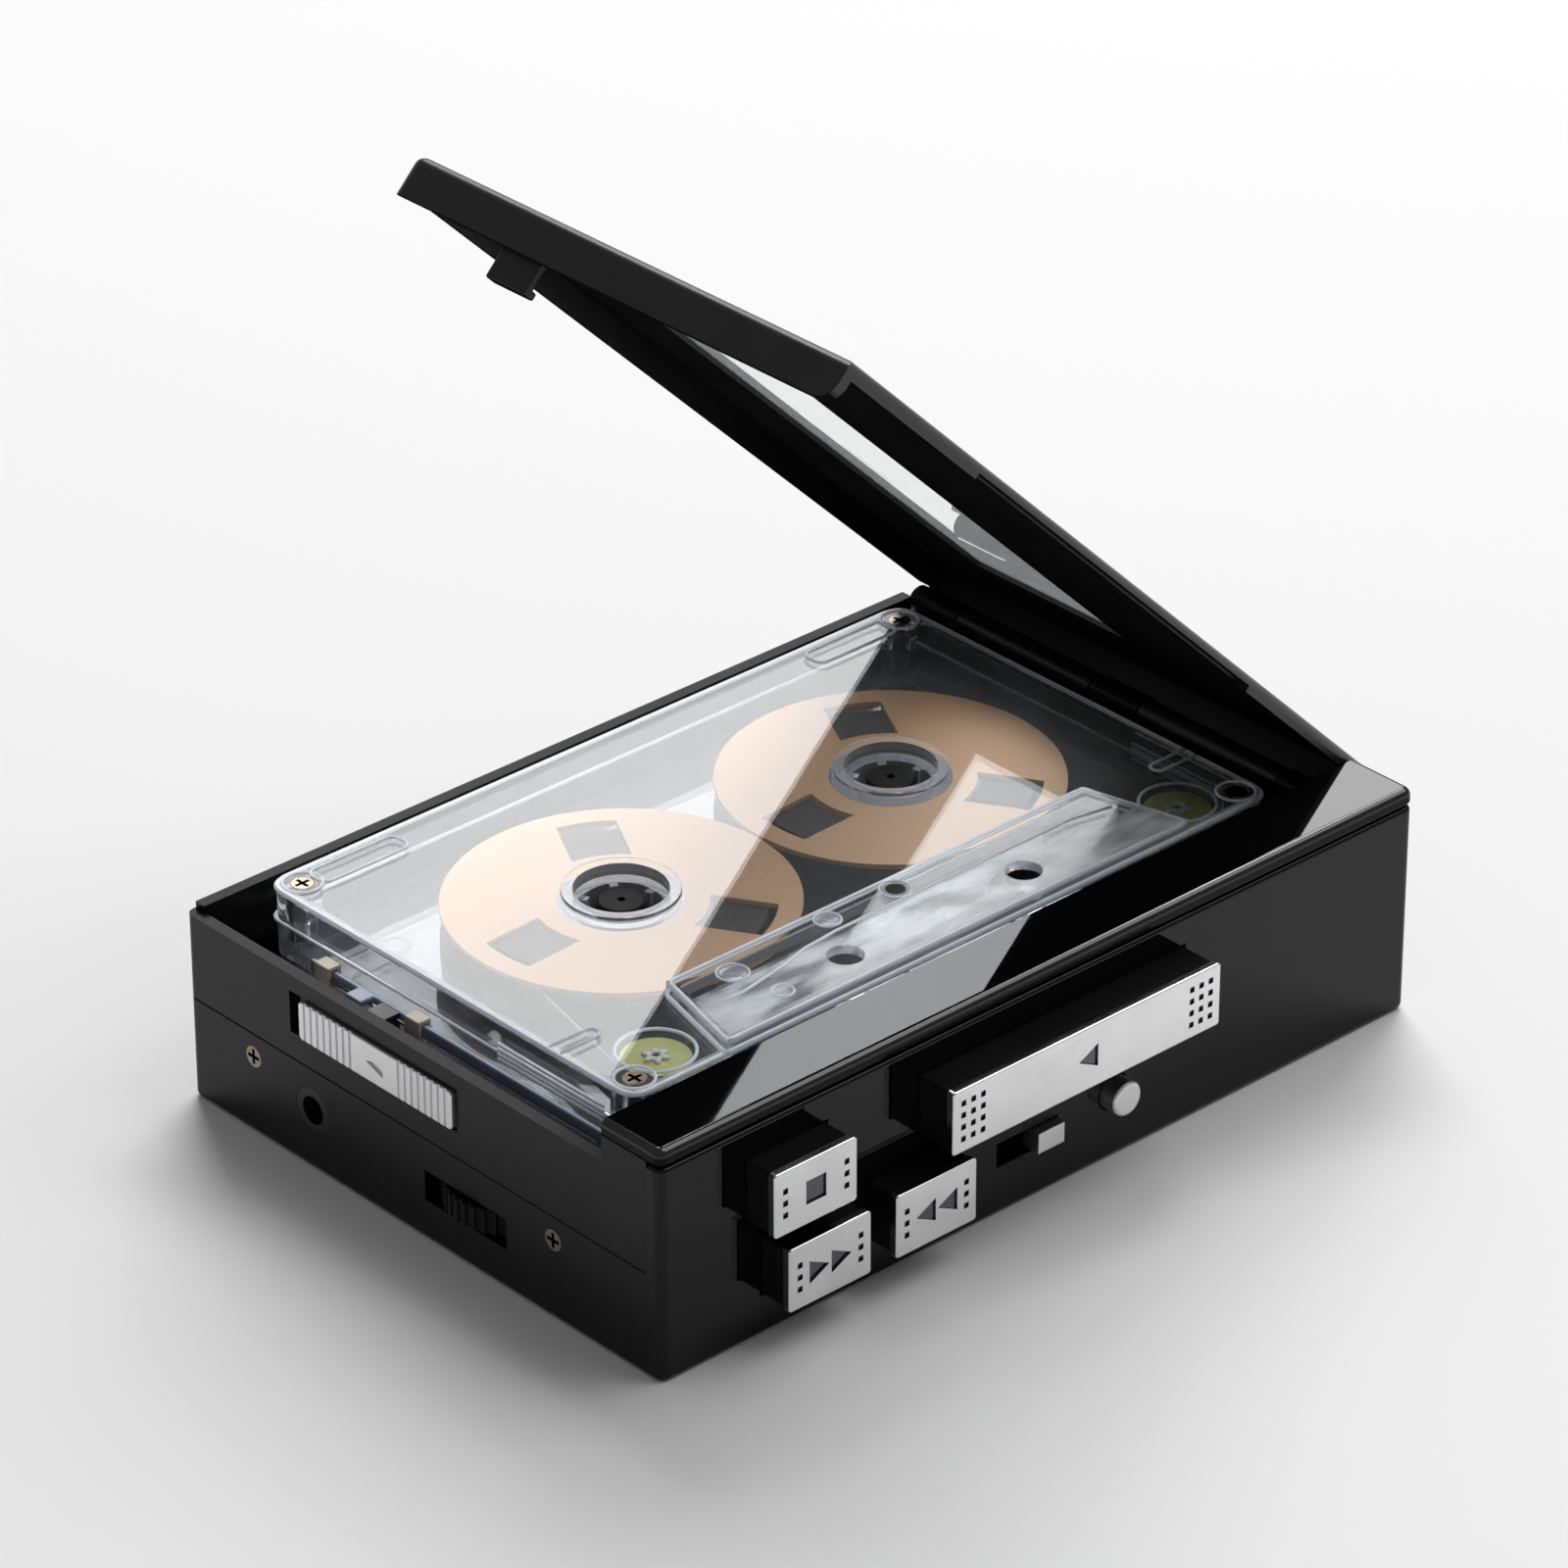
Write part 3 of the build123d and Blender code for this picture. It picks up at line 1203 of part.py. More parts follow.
# Reels: spindle, hub, flanges, tape pack and guide roller on each side
for side_name, hub_x, guide_x in (("left", left_hub_x, guides[0]), ("right", right_hub_x, guides[1])):
    with BuildPart() as spindle:
        post(hub_x, hub_y, rim_bottom, deck_top + bush_flange + seam_gap, spindle_shaft_radius)
        post(hub_x, hub_y, rim_bottom, rim_bottom + rim_thick, spindle_rim_radius)
        post(hub_x, hub_y, deck_top + bush_flange + seam_gap, cassette_mid + half_thick - cassette_wall,
             spindle_core_radius)
        fillet(spindle.faces().sort_by(Axis.Z)[-1].edges(), key_edge)
        with BuildSketch(Plane.XY.offset(cassette_bottom)):
            with Locations((hub_x, hub_y)):
                with PolarLocations(spindle_fin_reach / 2, spindle_fins, start_angle=180 / hub_teeth):
                    Rectangle(spindle_fin_reach, spindle_fin_width)
        extrude(amount=half_thick)
        spindle_top = cassette_mid + half_thick - cassette_wall
        post(hub_x, hub_y, spindle_top - spindle_dimple, spindle_top, spindle_dimple_radius, Mode.SUBTRACT)
    save(spindle, f"{side_name}_spindle")

    with BuildPart() as hub:
        hub_low = cassette_mid - tape_width / 2 - flange_thick
        hub_high = cassette_mid + tape_width / 2 + flange_thick
        post(hub_x, hub_y, cassette_mid - tape_width / 2, cassette_mid + tape_width / 2, hub_outer_radius)
        post(hub_x, hub_y, hub_low, hub_high, flange_bore - fit_gap)
        post(hub_x, hub_y, hub_low, hub_high, hub_inner_radius, Mode.SUBTRACT)
        with BuildSketch(Plane.XY.offset(hub_low)):
            with Locations((hub_x, hub_y)):
                with PolarLocations(hub_inner_radius, hub_teeth):
                    Rectangle(2 * hub_tooth_height, hub_tooth_width)
        extrude(amount=hub_high - hub_low)
    save(hub, f"{side_name}_hub")

    with BuildPart() as flanges:
        for flange_low in (hub_low, hub_high - flange_thick):
            post(hub_x, hub_y, flange_low, flange_low + flange_thick, reel_radius)
        post(hub_x, hub_y, hub_low, hub_high, flange_bore, Mode.SUBTRACT)
        with BuildSketch(Plane.XY.offset(hub_low)):
            with Locations((hub_x, hub_y)):
                with PolarLocations(reel_window_outer / 2, reel_window_count, start_angle=reel_window_angle):
                    Rectangle(reel_window_outer, reel_window_width)
                Circle(reel_window_outer, mode=Mode.INTERSECT)
                Circle(reel_window_inner, mode=Mode.SUBTRACT)
        extrude(amount=hub_high - hub_low, mode=Mode.SUBTRACT)
    save(flanges, f"{side_name}_reel_flanges")

    with BuildPart() as pack:
        pack_low = cassette_mid - tape_width / 2
        pack_high = cassette_mid + tape_width / 2
        post(hub_x, hub_y, pack_low, pack_high, pack_radius)
        post(hub_x, hub_y, pack_low, pack_high, hub_outer_radius + fit_gap, Mode.SUBTRACT)
    save(pack, f"{side_name}_tape_pack")

    with BuildPart() as guide_roller:
        post(guide_x, guide_y, cassette_mid - guide_height / 2, cassette_mid + guide_height / 2, guide_radius)
        post(guide_x, guide_y, cassette_mid - guide_height / 2, cassette_mid + guide_height / 2,
             guide_pin_radius + fit_gap, Mode.SUBTRACT)
    save(guide_roller, f"{side_name}_guide_roller")
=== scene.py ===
import json
from math import cos, pi, radians, sin

import bmesh
import bpy
from mathutils import Matrix, Vector


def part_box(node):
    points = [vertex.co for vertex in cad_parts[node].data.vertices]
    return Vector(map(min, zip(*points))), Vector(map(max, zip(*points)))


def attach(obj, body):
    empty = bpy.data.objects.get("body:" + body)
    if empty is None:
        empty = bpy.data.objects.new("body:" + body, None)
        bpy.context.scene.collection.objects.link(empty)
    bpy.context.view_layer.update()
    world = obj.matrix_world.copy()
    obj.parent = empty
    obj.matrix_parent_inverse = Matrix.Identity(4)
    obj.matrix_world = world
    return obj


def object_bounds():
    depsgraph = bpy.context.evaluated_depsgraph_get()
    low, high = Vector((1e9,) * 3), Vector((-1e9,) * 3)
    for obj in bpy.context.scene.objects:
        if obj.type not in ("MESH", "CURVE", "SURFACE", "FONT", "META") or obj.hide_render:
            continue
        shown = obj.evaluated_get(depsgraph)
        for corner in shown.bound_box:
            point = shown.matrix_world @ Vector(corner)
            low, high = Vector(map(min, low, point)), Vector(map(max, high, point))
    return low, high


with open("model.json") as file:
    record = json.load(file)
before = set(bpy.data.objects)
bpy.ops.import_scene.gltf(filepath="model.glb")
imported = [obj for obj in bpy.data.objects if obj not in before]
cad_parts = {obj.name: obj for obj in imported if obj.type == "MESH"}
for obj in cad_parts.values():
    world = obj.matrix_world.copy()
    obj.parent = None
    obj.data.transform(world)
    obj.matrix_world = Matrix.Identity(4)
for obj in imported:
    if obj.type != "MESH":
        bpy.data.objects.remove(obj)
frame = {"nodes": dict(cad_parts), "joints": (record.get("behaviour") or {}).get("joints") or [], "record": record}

cad_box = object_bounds()
nodes = frame["nodes"]
slot_of = {part["node"]: part["material_slot"] for part in frame["record"]["subparts"]}
MM = 0.001
UP = Vector((0, 0, 1))


# Places read from the frame
def middle_of(node):
    """Middle of a CAD node's box."""
    low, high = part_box(node)
    return (low + high) / 2


half_thickness = 4.35 * MM
left_hub = middle_of("left_tape_pack")
right_hub = middle_of("right_tape_pack")
guides = {"left": middle_of("left_guide_roller"), "right": middle_of("right_guide_roller")}
shell_low, shell_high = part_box("cassette_upper_shell")
cassette_middle = (shell_low + shell_high) / 2
seam_level = shell_low.z
cassette_top = seam_level + half_thickness
head_top = shell_high.z
head_front = shell_low.y
case_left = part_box("lower_shell")[0].x
lid_hinge = next(joint for joint in frame["joints"] if joint["name"] == "lid_hinge")
lid_angle = -radians(lid_hinge["range_deg"][0])
lid_up = Vector((sin(lid_angle), 0, cos(lid_angle)))

# Sizes of the cassette's moulded details
collar_reach = 7.05 * MM
corner_round = 2.0 * MM
edge_band = 1.0 * MM
plate_depth = 9.1 * MM
screw_inset = 3.0 * MM
screw_rim = 2.35 * MM

# Sizes of the patterns in the finishes
grain_size = 0.25 * MM
grain_depth = 0.004 * MM
streak_size = 0.4 * MM
streak_depth = 0.002 * MM
metal_drift = 5 * MM
ring_drift = 7 * MM
satin_size = 9 * MM
wipe_size = 14 * MM
wave_size = 22 * MM
wave_depth = 0.01 * MM
haze_size = 6 * MM
ripple_size = 11 * MM
fibre_size = 0.5 * MM
fibre_depth = 0.01 * MM

# Most of a noise lies between these values
noise_low = 0.3
noise_high = 0.7

# Pairs of tones, dark and light
case_tones = (0.003, 0.003, 0.0035), (0.005, 0.005, 0.0055)
gloss_tones = (0.002, 0.002, 0.0025), (0.003, 0.003, 0.0035)
lid_tones = (0.006, 0.006, 0.0065), (0.009, 0.009, 0.0095)
chrome_tones = (0.76, 0.76, 0.77), (0.84, 0.84, 0.85)
screw_tones = (0.24, 0.19, 0.15), (0.34, 0.28, 0.22)
gold_tones = (0.53, 0.295, 0.133), (0.57, 0.325, 0.153)
pack_tones = (0.030, 0.022, 0.018), (0.055, 0.042, 0.034)

finishes = {}


# Node helpers
def new_finish(name):
    """A new material, kept under its name: its node tree and its main shader."""
    finish = bpy.data.materials.new(name)
    finish.use_nodes = True
    finishes[name] = finish
    tree = finish.node_tree
    return tree, tree.nodes["Principled BSDF"]


def feed(tree, socket, value):
    """Link an output to a socket, or set the socket to a plain value."""
    if isinstance(value, bpy.types.NodeSocket):
        tree.links.new(value, socket)
    else:
        socket.default_value = value


def add(tree, kind, settings=None, **inputs):
    """One node, with its settings and its inputs: plain values or the outputs of other nodes."""
    made = tree.nodes.new(kind)
    for name, value in (settings or {}).items():
        setattr(made, name, value)
    for name, value in inputs.items():
        feed(tree, made.inputs[name.replace("_", " ")], value)
    return made


def set_shader(tree, shader, **inputs):
    """Inputs of the main shader."""
    for name, value in inputs.items():
        feed(tree, shader.inputs[name.replace("_", " ")], value)


def arithmetic(tree, operation, first, second=0.0):
    """Math node on two values."""
    made = add(tree, "ShaderNodeMath", {"operation": operation})
    feed(tree, made.inputs[0], first)
    feed(tree, made.inputs[1], second)
    return made.outputs[0]


def product(tree, first, *others):
    """Product of values."""
    for other in others:
        first = arithmetic(tree, "MULTIPLY", first, other)
    return first


def largest(tree, first, *others):
    """Largest of values."""
    for other in others:
        first = arithmetic(tree, "MAXIMUM", first, other)
    return first


def is_over(tree, value, limit):
    """1 where a value is over a limit, 0 elsewhere."""
    return arithmetic(tree, "GREATER_THAN", value, limit)


def is_under(tree, value, limit):
    """1 where a value is under a limit, 0 elsewhere."""
    return arithmetic(tree, "LESS_THAN", value, limit)


def away_from(tree, value, centre):
    """Distance of a value from a centre."""
    return arithmetic(tree, "ABSOLUTE", arithmetic(tree, "SUBTRACT", value, centre))


def vectors(tree, operation, first, second, output="Vector"):
    """Vector math node on two vectors."""
    made = add(tree, "ShaderNodeVectorMath", {"operation": operation})
    feed(tree, made.inputs[0], first)
    feed(tree, made.inputs[1], second)
    return made.outputs[output]


def object_place(tree):
    """Coordinates in the frame, in metres, that move with the piece."""
    return add(tree, "ShaderNodeTexCoord").outputs["Object"]


def facing(tree, direction):
    """How far a face looks along a direction: 1 straight along it, -1 straight against it."""
    normal = add(tree, "ShaderNodeTexCoord").outputs["Normal"]
    return vectors(tree, "DOT_PRODUCT", normal, direction, "Value")


def parts_of(tree, place):
    """The three coordinates of a place."""
    split = add(tree, "ShaderNodeSeparateXYZ", Vector=place)
    return split.outputs["X"], split.outputs["Y"], split.outputs["Z"]


def reach_from(tree, place, centre):
    """Distance from an upright axis."""
    offset = vectors(tree, "SUBTRACT", place, (centre.x, centre.y, 0))
    flat = vectors(tree, "MULTIPLY", offset, (1, 1, 0))
    return vectors(tree, "LENGTH", flat, (0, 0, 0), "Value")


def noise(tree, place, size, detail=3.0, roughness=0.5):
    """Noise whose features have the given size in metres."""
    made = add(tree, "ShaderNodeTexNoise", Vector=place, Scale=1 / size, Detail=detail, Roughness=roughness)
    return made.outputs["Fac"]


def spread(tree, value, low, high, start=noise_low, stop=noise_high):
    """Value from start to stop, mapped to low to high."""
    made = add(tree, "ShaderNodeMapRange", Value=value, From_Min=start, From_Max=stop, To_Min=low,
               To_Max=high)
    return made.outputs["Result"]


def blend(tree, share, first, second):
    """Colour between two colours, by a share from 0 to 1."""
    made = add(tree, "ShaderNodeMix", {"data_type": "RGBA"}, Factor=share, A=first, B=second)
    return made.outputs["Result"]


def tint(tree, value, dark, light):
    """Colour between two tones, by a noise."""
    ramp = add(tree, "ShaderNodeValToRGB", Fac=value)
    low, high = ramp.color_ramp.elements
    low.position = noise_low
    high.position = noise_high
    low.color = (*dark, 1)
    high.color = (*light, 1)
    return ramp.outputs["Color"]


def bump(tree, height, distance):
    """Bump of the given depth in metres."""
    return add(tree, "ShaderNodeBump", Height=height, Distance=distance).outputs["Normal"]


# Finishes
def moulded(name, tones, rough, specular=0.5, top_specular=None, grain=grain_size, depth=grain_depth):
    """Moulded plastic: fine grain, slow drift of tone and sheen, another sheen on top where given."""
    tree, shader = new_finish(name)
    place = object_place(tree)
    drift = noise(tree, place, satin_size)
    fine = noise(tree, place, grain, roughness=0.6)
    if top_specular is not None:
        specular = spread(tree, facing(tree, UP), specular, top_specular, 0.5, 0.9)
    set_shader(tree, shader, Base_Color=tint(tree, drift, *tones), Roughness=spread(tree, drift, *rough),
               Specular_IOR_Level=specular, Normal=bump(tree, fine, depth))


def polished(name, tones, rough, index=1.5, side_specular=None):
    """Polished plastic: slow waves and faint wipe marks, another sheen on upright faces where given."""
    tree, shader = new_finish(name)
    place = object_place(tree)
    wipe = noise(tree, place, wipe_size, detail=4.0, roughness=0.65)
    wave = noise(tree, place, wave_size, detail=1.0)
    specular = 0.5
    if side_specular is not None:
        specular = spread(tree, facing(tree, UP), side_specular, specular, 0.05, 0.35)
    set_shader(tree, shader, Base_Color=tint(tree, wipe, *tones), IOR=index, Specular_IOR_Level=specular,
               Roughness=spread(tree, wipe, *rough, 0.4, 0.75), Normal=bump(tree, wave, wave_depth))


def lid_finish(name):
    """Satin black outside, with no sheen on the faces that look down into the case."""
    tree, shader = new_finish(name)
    place = object_place(tree)
    outside = spread(tree, facing(tree, lid_up), 0.0, 1.0, -0.7, -0.4)
    satin = noise(tree, place, satin_size)
    rough = arithmetic(tree, "ADD", product(tree, outside, 0.24), 0.06)
    drift = spread(tree, satin, -0.02, 0.03)
    grain = product(tree, outside, noise(tree, place, grain_size, roughness=0.6))
    set_shader(tree, shader, Base_Color=tint(tree, satin, *lid_tones),
               Roughness=arithmetic(tree, "ADD", rough, drift),
               Specular_IOR_Level=product(tree, outside, 0.55), Normal=bump(tree, grain, grain_depth))


def clear(name, colour, roughness, scuff, ripple_depth, index=1.49, passing=1.0, frosting=None):
    """Clear plastic that lets lamps through, with the faint ripples of a moulding and frosted places."""
    frost_tone = (0.86, 0.87, 0.90, 1)
    frost_rough = 0.4
    tree, shader = new_finish(name)
    place = object_place(tree)
    haze = noise(tree, place, haze_size, detail=4.0, roughness=0.7)
    ripple = noise(tree, place, ripple_size, detail=1.0)
    rough = spread(tree, haze, roughness, roughness + scuff, 0.45, 0.8)
    weight = passing
    tone = (*colour, 1)
    if frosting is not None:
        frost = frosting(tree, place)
        rough = arithmetic(tree, "ADD", rough, product(tree, frost, frost_rough))
        weight = product(tree, arithmetic(tree, "SUBTRACT", 1.0, frost), passing)
        tone = blend(tree, frost, tone, frost_tone)
    set_shader(tree, shader, Base_Color=tone, Transmission_Weight=weight, IOR=index, Roughness=rough,
               Normal=bump(tree, ripple, ripple_depth))
    through = add(tree, "ShaderNodeBsdfTransparent", Color=(*colour, 1))
    lamps = add(tree, "ShaderNodeLightPath")
    mix = add(tree, "ShaderNodeMixShader")
    tree.links.new(lamps.outputs["Is Shadow Ray"], mix.inputs[0])
    tree.links.new(shader.outputs[0], mix.inputs[1])
    tree.links.new(through.outputs[0], mix.inputs[2])
    tree.links.new(mix.outputs[0], tree.nodes["Material Output"].inputs["Surface"])


def cassette_frost(tree, place):
    """Share of frosting: the collars, the plate over the heads, whose mottle is a painted highlight, and a band
    along the edges, whose whitish frost is a painted highlight of the light caught in the clear walls.
    """
    top_skin = 0.6 * MM
    plate_step = 0.3 * MM
    mottle_size = 3.2 * MM
    collar_share = 0.12
    rim_highlight_share = 0.35
    across, along, height = parts_of(tree, place)
    half = (shell_high - shell_low) / 2
    collar = 0.0
    for hub in (left_hub, right_hub):
        near = is_under(tree, reach_from(tree, place, hub), collar_reach)
        collar = arithmetic(tree, "ADD", collar, near)
    # Band along the edges: whitish frost as painted highlight
    at_end = is_over(tree, away_from(tree, across, cassette_middle.x), half.x - edge_band)
    at_side = is_over(tree, away_from(tree, along, cassette_middle.y), half.y - edge_band)
    rim = largest(tree, at_end, at_side)
    # Mottle over the heads: painted highlight
    drawn = vectors(tree, "MULTIPLY", place, (0.4, 1.0, 1.0))
    mottle_highlight = spread(tree, noise(tree, drawn, mottle_size, detail=1.5), 0.06, 0.50, 0.38, 0.62)
    over_heads = is_under(tree, along, head_front + plate_depth)
    raised = is_over(tree, height, cassette_top + plate_step)
    plate = product(tree, over_heads, raised, mottle_highlight)
    frost = largest(tree, product(tree, collar, collar_share), product(tree, rim, rim_highlight_share), plate)
    return product(tree, frost, is_over(tree, height, cassette_top - top_skin))


def metal(name, tones, rough, dark_past=None, sunk_shade=None):
    """Bare or plated metal, dull and dark past a place along X, or with painted shade in sunken slots, where
    given.
    """
    past_tone = (0.010, 0.010, 0.012, 1)
    slot_shade_tone = (0.012, 0.010, 0.009, 1)
    tree, shader = new_finish(name)
    place = object_place(tree)
    streak = noise(tree, place, streak_size, roughness=0.6)
    drift = noise(tree, place, metal_drift)
    colour = tint(tree, drift, *tones)
    shine = 1.0
    if dark_past is not None:
        past = is_over(tree, parts_of(tree, place)[0], dark_past)
        colour = blend(tree, past, colour, past_tone)
        shine = arithmetic(tree, "SUBTRACT", 1.0, past)
    if sunk_shade is not None:
        axis, start, stop = sunk_shade
        along = parts_of(tree, place)[axis]
        inside = product(tree, is_over(tree, along, start), is_under(tree, along, stop))
        # Painted shade: the sunken slots darkened
        colour = blend(tree, inside, colour, slot_shade_tone)
    set_shader(tree, shader, Base_Color=colour, Metallic=shine, Roughness=spread(tree, drift, *rough),
               Normal=bump(tree, streak, streak_depth))


def inlaid(name, low, high):
    """Bright cap whose sunken marks carry painted shade."""
    mark_shade_tone = (0.13, 0.13, 0.14, 1)
    mark_depth = 0.12 * MM
    cap_margin = 0.7 * MM
    tree, shader = new_finish(name)
    place = object_place(tree)
    across, depth, height = parts_of(tree, place)
    middle = (low + high) / 2
    half = (high - low) / 2
    sunk_shade = is_over(tree, depth, low.y + mark_depth)
    for value, centre, reach in ((across, middle.x, half.x), (height, middle.z, half.z)):
        within = is_under(tree, away_from(tree, value, centre), reach - cap_margin)
        sunk_shade = product(tree, sunk_shade, within)
    drift = noise(tree, place, metal_drift)
    streak = noise(tree, place, streak_size, roughness=0.6)
    bright = tint(tree, drift, *chrome_tones)
    # Painted shade: the sunken marks darkened
    set_shader(tree, shader, Base_Color=blend(tree, sunk_shade, bright, mark_shade_tone), Metallic=1.0,
               Roughness=spread(tree, drift, 0.11, 0.17), Normal=bump(tree, streak, streak_depth))


def ringed(name, centre, tones, rough, pitch, depth, under=None, specular=0.3):
    """Face turned in fine rings about a reel's middle, in another colour under it where one is given."""
    tree, shader = new_finish(name)
    place = object_place(tree)
    rings = add(tree, "ShaderNodeTexNoise", {"noise_dimensions": "1D"}, W=reach_from(tree, place, centre),
                Scale=1 / pitch, Detail=3.0).outputs["Fac"]
    drift = noise(tree, place, ring_drift)
    colour = tint(tree, rings, *tones)
    if under is not None:
        above = is_over(tree, parts_of(tree, place)[2], centre.z)
        colour = blend(tree, above, (*under, 1), colour)
    set_shader(tree, shader, Base_Color=colour, Roughness=spread(tree, drift, *rough),
               Specular_IOR_Level=specular, Normal=bump(tree, rings, depth))


# Finishes that the nodes and pieces wear
slider_face = 1.0 * MM
moulded("case_black", case_tones, rough=(0.24, 0.32), specular=0.25)
polished("panel_gloss", gloss_tones, rough=(0.02, 0.05), index=1.34)
polished("strip_gloss", gloss_tones, rough=(0.02, 0.05), index=1.7, side_specular=0.06)
lid_finish("lid_black")
clear("clear_window", (0.80, 0.82, 0.83), roughness=0.0, scuff=0.02, ripple_depth=0.004 * MM)
moulded("key_black", ((0.007, 0.007, 0.008), (0.009, 0.009, 0.010)), rough=(0.14, 0.20), specular=0.38)
metal("control_silver", chrome_tones, rough=(0.30, 0.38))
metal("slider_silver", ((0.78, 0.78, 0.79), (0.86, 0.86, 0.87)), rough=(0.36, 0.44),
      dark_past=case_left + slider_face)
moulded("wheel_black", ((0.003, 0.003, 0.003), (0.005, 0.005, 0.005)), rough=(0.45, 0.55), specular=0.2)
moulded("bar_blue", ((0.20, 0.24, 0.33), (0.26, 0.31, 0.42)), rough=(0.22, 0.30), specular=0.6)
moulded("shell_black", case_tones, rough=(0.24, 0.32), specular=0.25, top_specular=0.08)
clear("clear_cassette", (0.95, 0.96, 0.98), roughness=0.0, scuff=0.012, ripple_depth=0.006 * MM,
      index=1.5, passing=0.96, frosting=cassette_frost)
# Whitish clear plastics of the wires that are painted highlight on the cassette's edges and relief
clear("clear_edge", (0.96, 0.97, 1.0), roughness=0.18, scuff=0.06, ripple_depth=0.002 * MM,
      index=1.45, passing=0.35)
clear("edge_bright", (0.98, 0.98, 1.0), roughness=0.15, scuff=0.05, ripple_depth=0.002 * MM,
      index=1.45, passing=0.08)
clear("hub_clear", (0.84, 0.84, 0.90), roughness=0.06, scuff=0.04, ripple_depth=0.004 * MM,
      index=1.45, passing=0.72)
moulded("guide_olive", ((0.38, 0.40, 0.075), (0.46, 0.48, 0.11)), rough=(0.38, 0.46))
moulded("guide_white", ((0.62, 0.63, 0.60), (0.72, 0.73, 0.70)), rough=(0.20, 0.28))
moulded("spindle_black", ((0.006, 0.006, 0.006), (0.010, 0.010, 0.010)), rough=(0.5, 0.6), specular=0.12)
moulded("deck_grey", ((0.020, 0.020, 0.022), (0.030, 0.030, 0.032)), rough=(0.5, 0.6), specular=0.1)
metal("bright_steel", ((0.55, 0.55, 0.56), (0.68, 0.68, 0.68)), rough=(0.20, 0.30))
moulded("clip_beige", ((0.52, 0.46, 0.36), (0.60, 0.54, 0.44)), rough=(0.36, 0.44))
moulded("rubber_black", ((0.012, 0.012, 0.012), (0.020, 0.020, 0.020)), rough=(0.62, 0.74))
metal("brass_turned", ((0.55, 0.40, 0.16), (0.68, 0.50, 0.22)), rough=(0.22, 0.32))
moulded("board_green", ((0.010, 0.075, 0.032), (0.014, 0.10, 0.045)), rough=(0.30, 0.42))
moulded("battery_wrap", ((0.09, 0.11, 0.16), (0.12, 0.14, 0.20)), rough=(0.22, 0.30))
moulded("felt_pad", ((0.30, 0.22, 0.12), (0.42, 0.32, 0.19)), rough=(0.85, 0.95),
        grain=0.12 * MM, depth=0.05 * MM)
for side, hub in (("left", left_hub), ("right", right_hub)):
    ringed(f"{side}_reel_gold", hub, gold_tones, rough=(0.45, 0.55), pitch=0.5 * MM, depth=0.0005 * MM,
           under=(0.02, 0.018, 0.017))
    ringed(f"{side}_tape_brown", hub, pack_tones, rough=(0.5, 0.6), pitch=0.06 * MM, depth=0.001 * MM,
           specular=0.1)
polished("tape_brown", ((0.028, 0.020, 0.016), (0.040, 0.030, 0.024)), rough=(0.16, 0.26))

# Screws, with painted shade wherever they are sunk below their outer faces
slot_start = 0.08 * MM
end_low, end_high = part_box("case_screws")
top_low, top_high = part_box("cassette_screws")
metal("end_screw", screw_tones, rough=(0.16, 0.24),
      sunk_shade=(0, end_low.x + slot_start, end_high.x - slot_start))
metal("top_screw", screw_tones, rough=(0.16, 0.24),
      sunk_shade=(2, top_low.z - slot_start, top_high.z - slot_start))

for key in ("play", "stop", "rewind", "forward"):
    inlaid(f"{key}_cap", *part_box(f"{key}_key_cap"))

# Finish of every node: its own, or else its slot's, and on a reel the one turned about that reel's middle
own_finish = {
    "play_key_cap": "play_cap",
    "stop_key_cap": "stop_cap",
    "rewind_key_cap": "rewind_cap",
    "forward_key_cap": "forward_cap",
    "front_strip": "strip_gloss",
    "latch_slider": "slider_silver",
    "latch_bar": "bar_blue",
    "volume_wheel": "wheel_black",
    "case_screws": "end_screw",
    "cassette_screws": "top_screw",
    "upper_shell": "shell_black",
}
for name, obj in nodes.items():
    side = name.split("_")[0]
    slot = slot_of[name]
    finish = finishes.get(f"{side}_{slot}") or finishes[own_finish.get(name, slot)]
    for index in range(len(obj.data.materials)):
        obj.data.materials[index] = finish


# Softened edges of CAD nodes
def soften(node, width):
    """Round the sharp edges of a CAD node."""
    obj = nodes[node]
    weld = obj.modifiers.new("weld", "WELD")
    weld.merge_threshold = 0.0005 * MM
    flat = obj.modifiers.new("flat", "DECIMATE")
    flat.decimate_type = "DISSOLVE"
    flat.angle_limit = radians(1)
    edge = obj.modifiers.new("edge", "BEVEL")
    edge.width = width
    edge.segments = 2
    edge.limit_method = "ANGLE"
    edge.angle_limit = radians(35)
    edge.use_clamp_overlap = True
    obj.modifiers.new("shade", "WEIGHTED_NORMAL")


soften("cassette_upper_shell", 0.3 * MM)
soften("cassette_lower_shell", 0.3 * MM)
soften("latch_clips", 0.15 * MM)
soften("latch_bar", 0.25 * MM)
soften("lid_hook", 0.3 * MM)


# Ways to make pieces
def piece(name, shape, finish, body):
    """A finished piece from a mesh being built, riding on a body."""
    bmesh.ops.recalc_face_normals(shape, faces=shape.faces)
    for face in shape.faces:
        face.smooth = True
    mesh = bpy.data.meshes.new(name)
    shape.to_mesh(mesh)
    shape.free()
    mesh.materials.append(finishes[finish])
    obj = bpy.data.objects.new(name, mesh)
    bpy.context.scene.collection.objects.link(obj)
    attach(obj, body)


def add_ring(shape, points):
    """Points added to a mesh being built."""
    return [shape.verts.new(point) for point in points]


def skin(shape, first, second):
    """Faces between two rings of a mesh being built."""
    count = len(first)
    for i in range(count):
        after = (i + 1) % count
        shape.faces.new((first[i], first[after], second[after], second[i]))


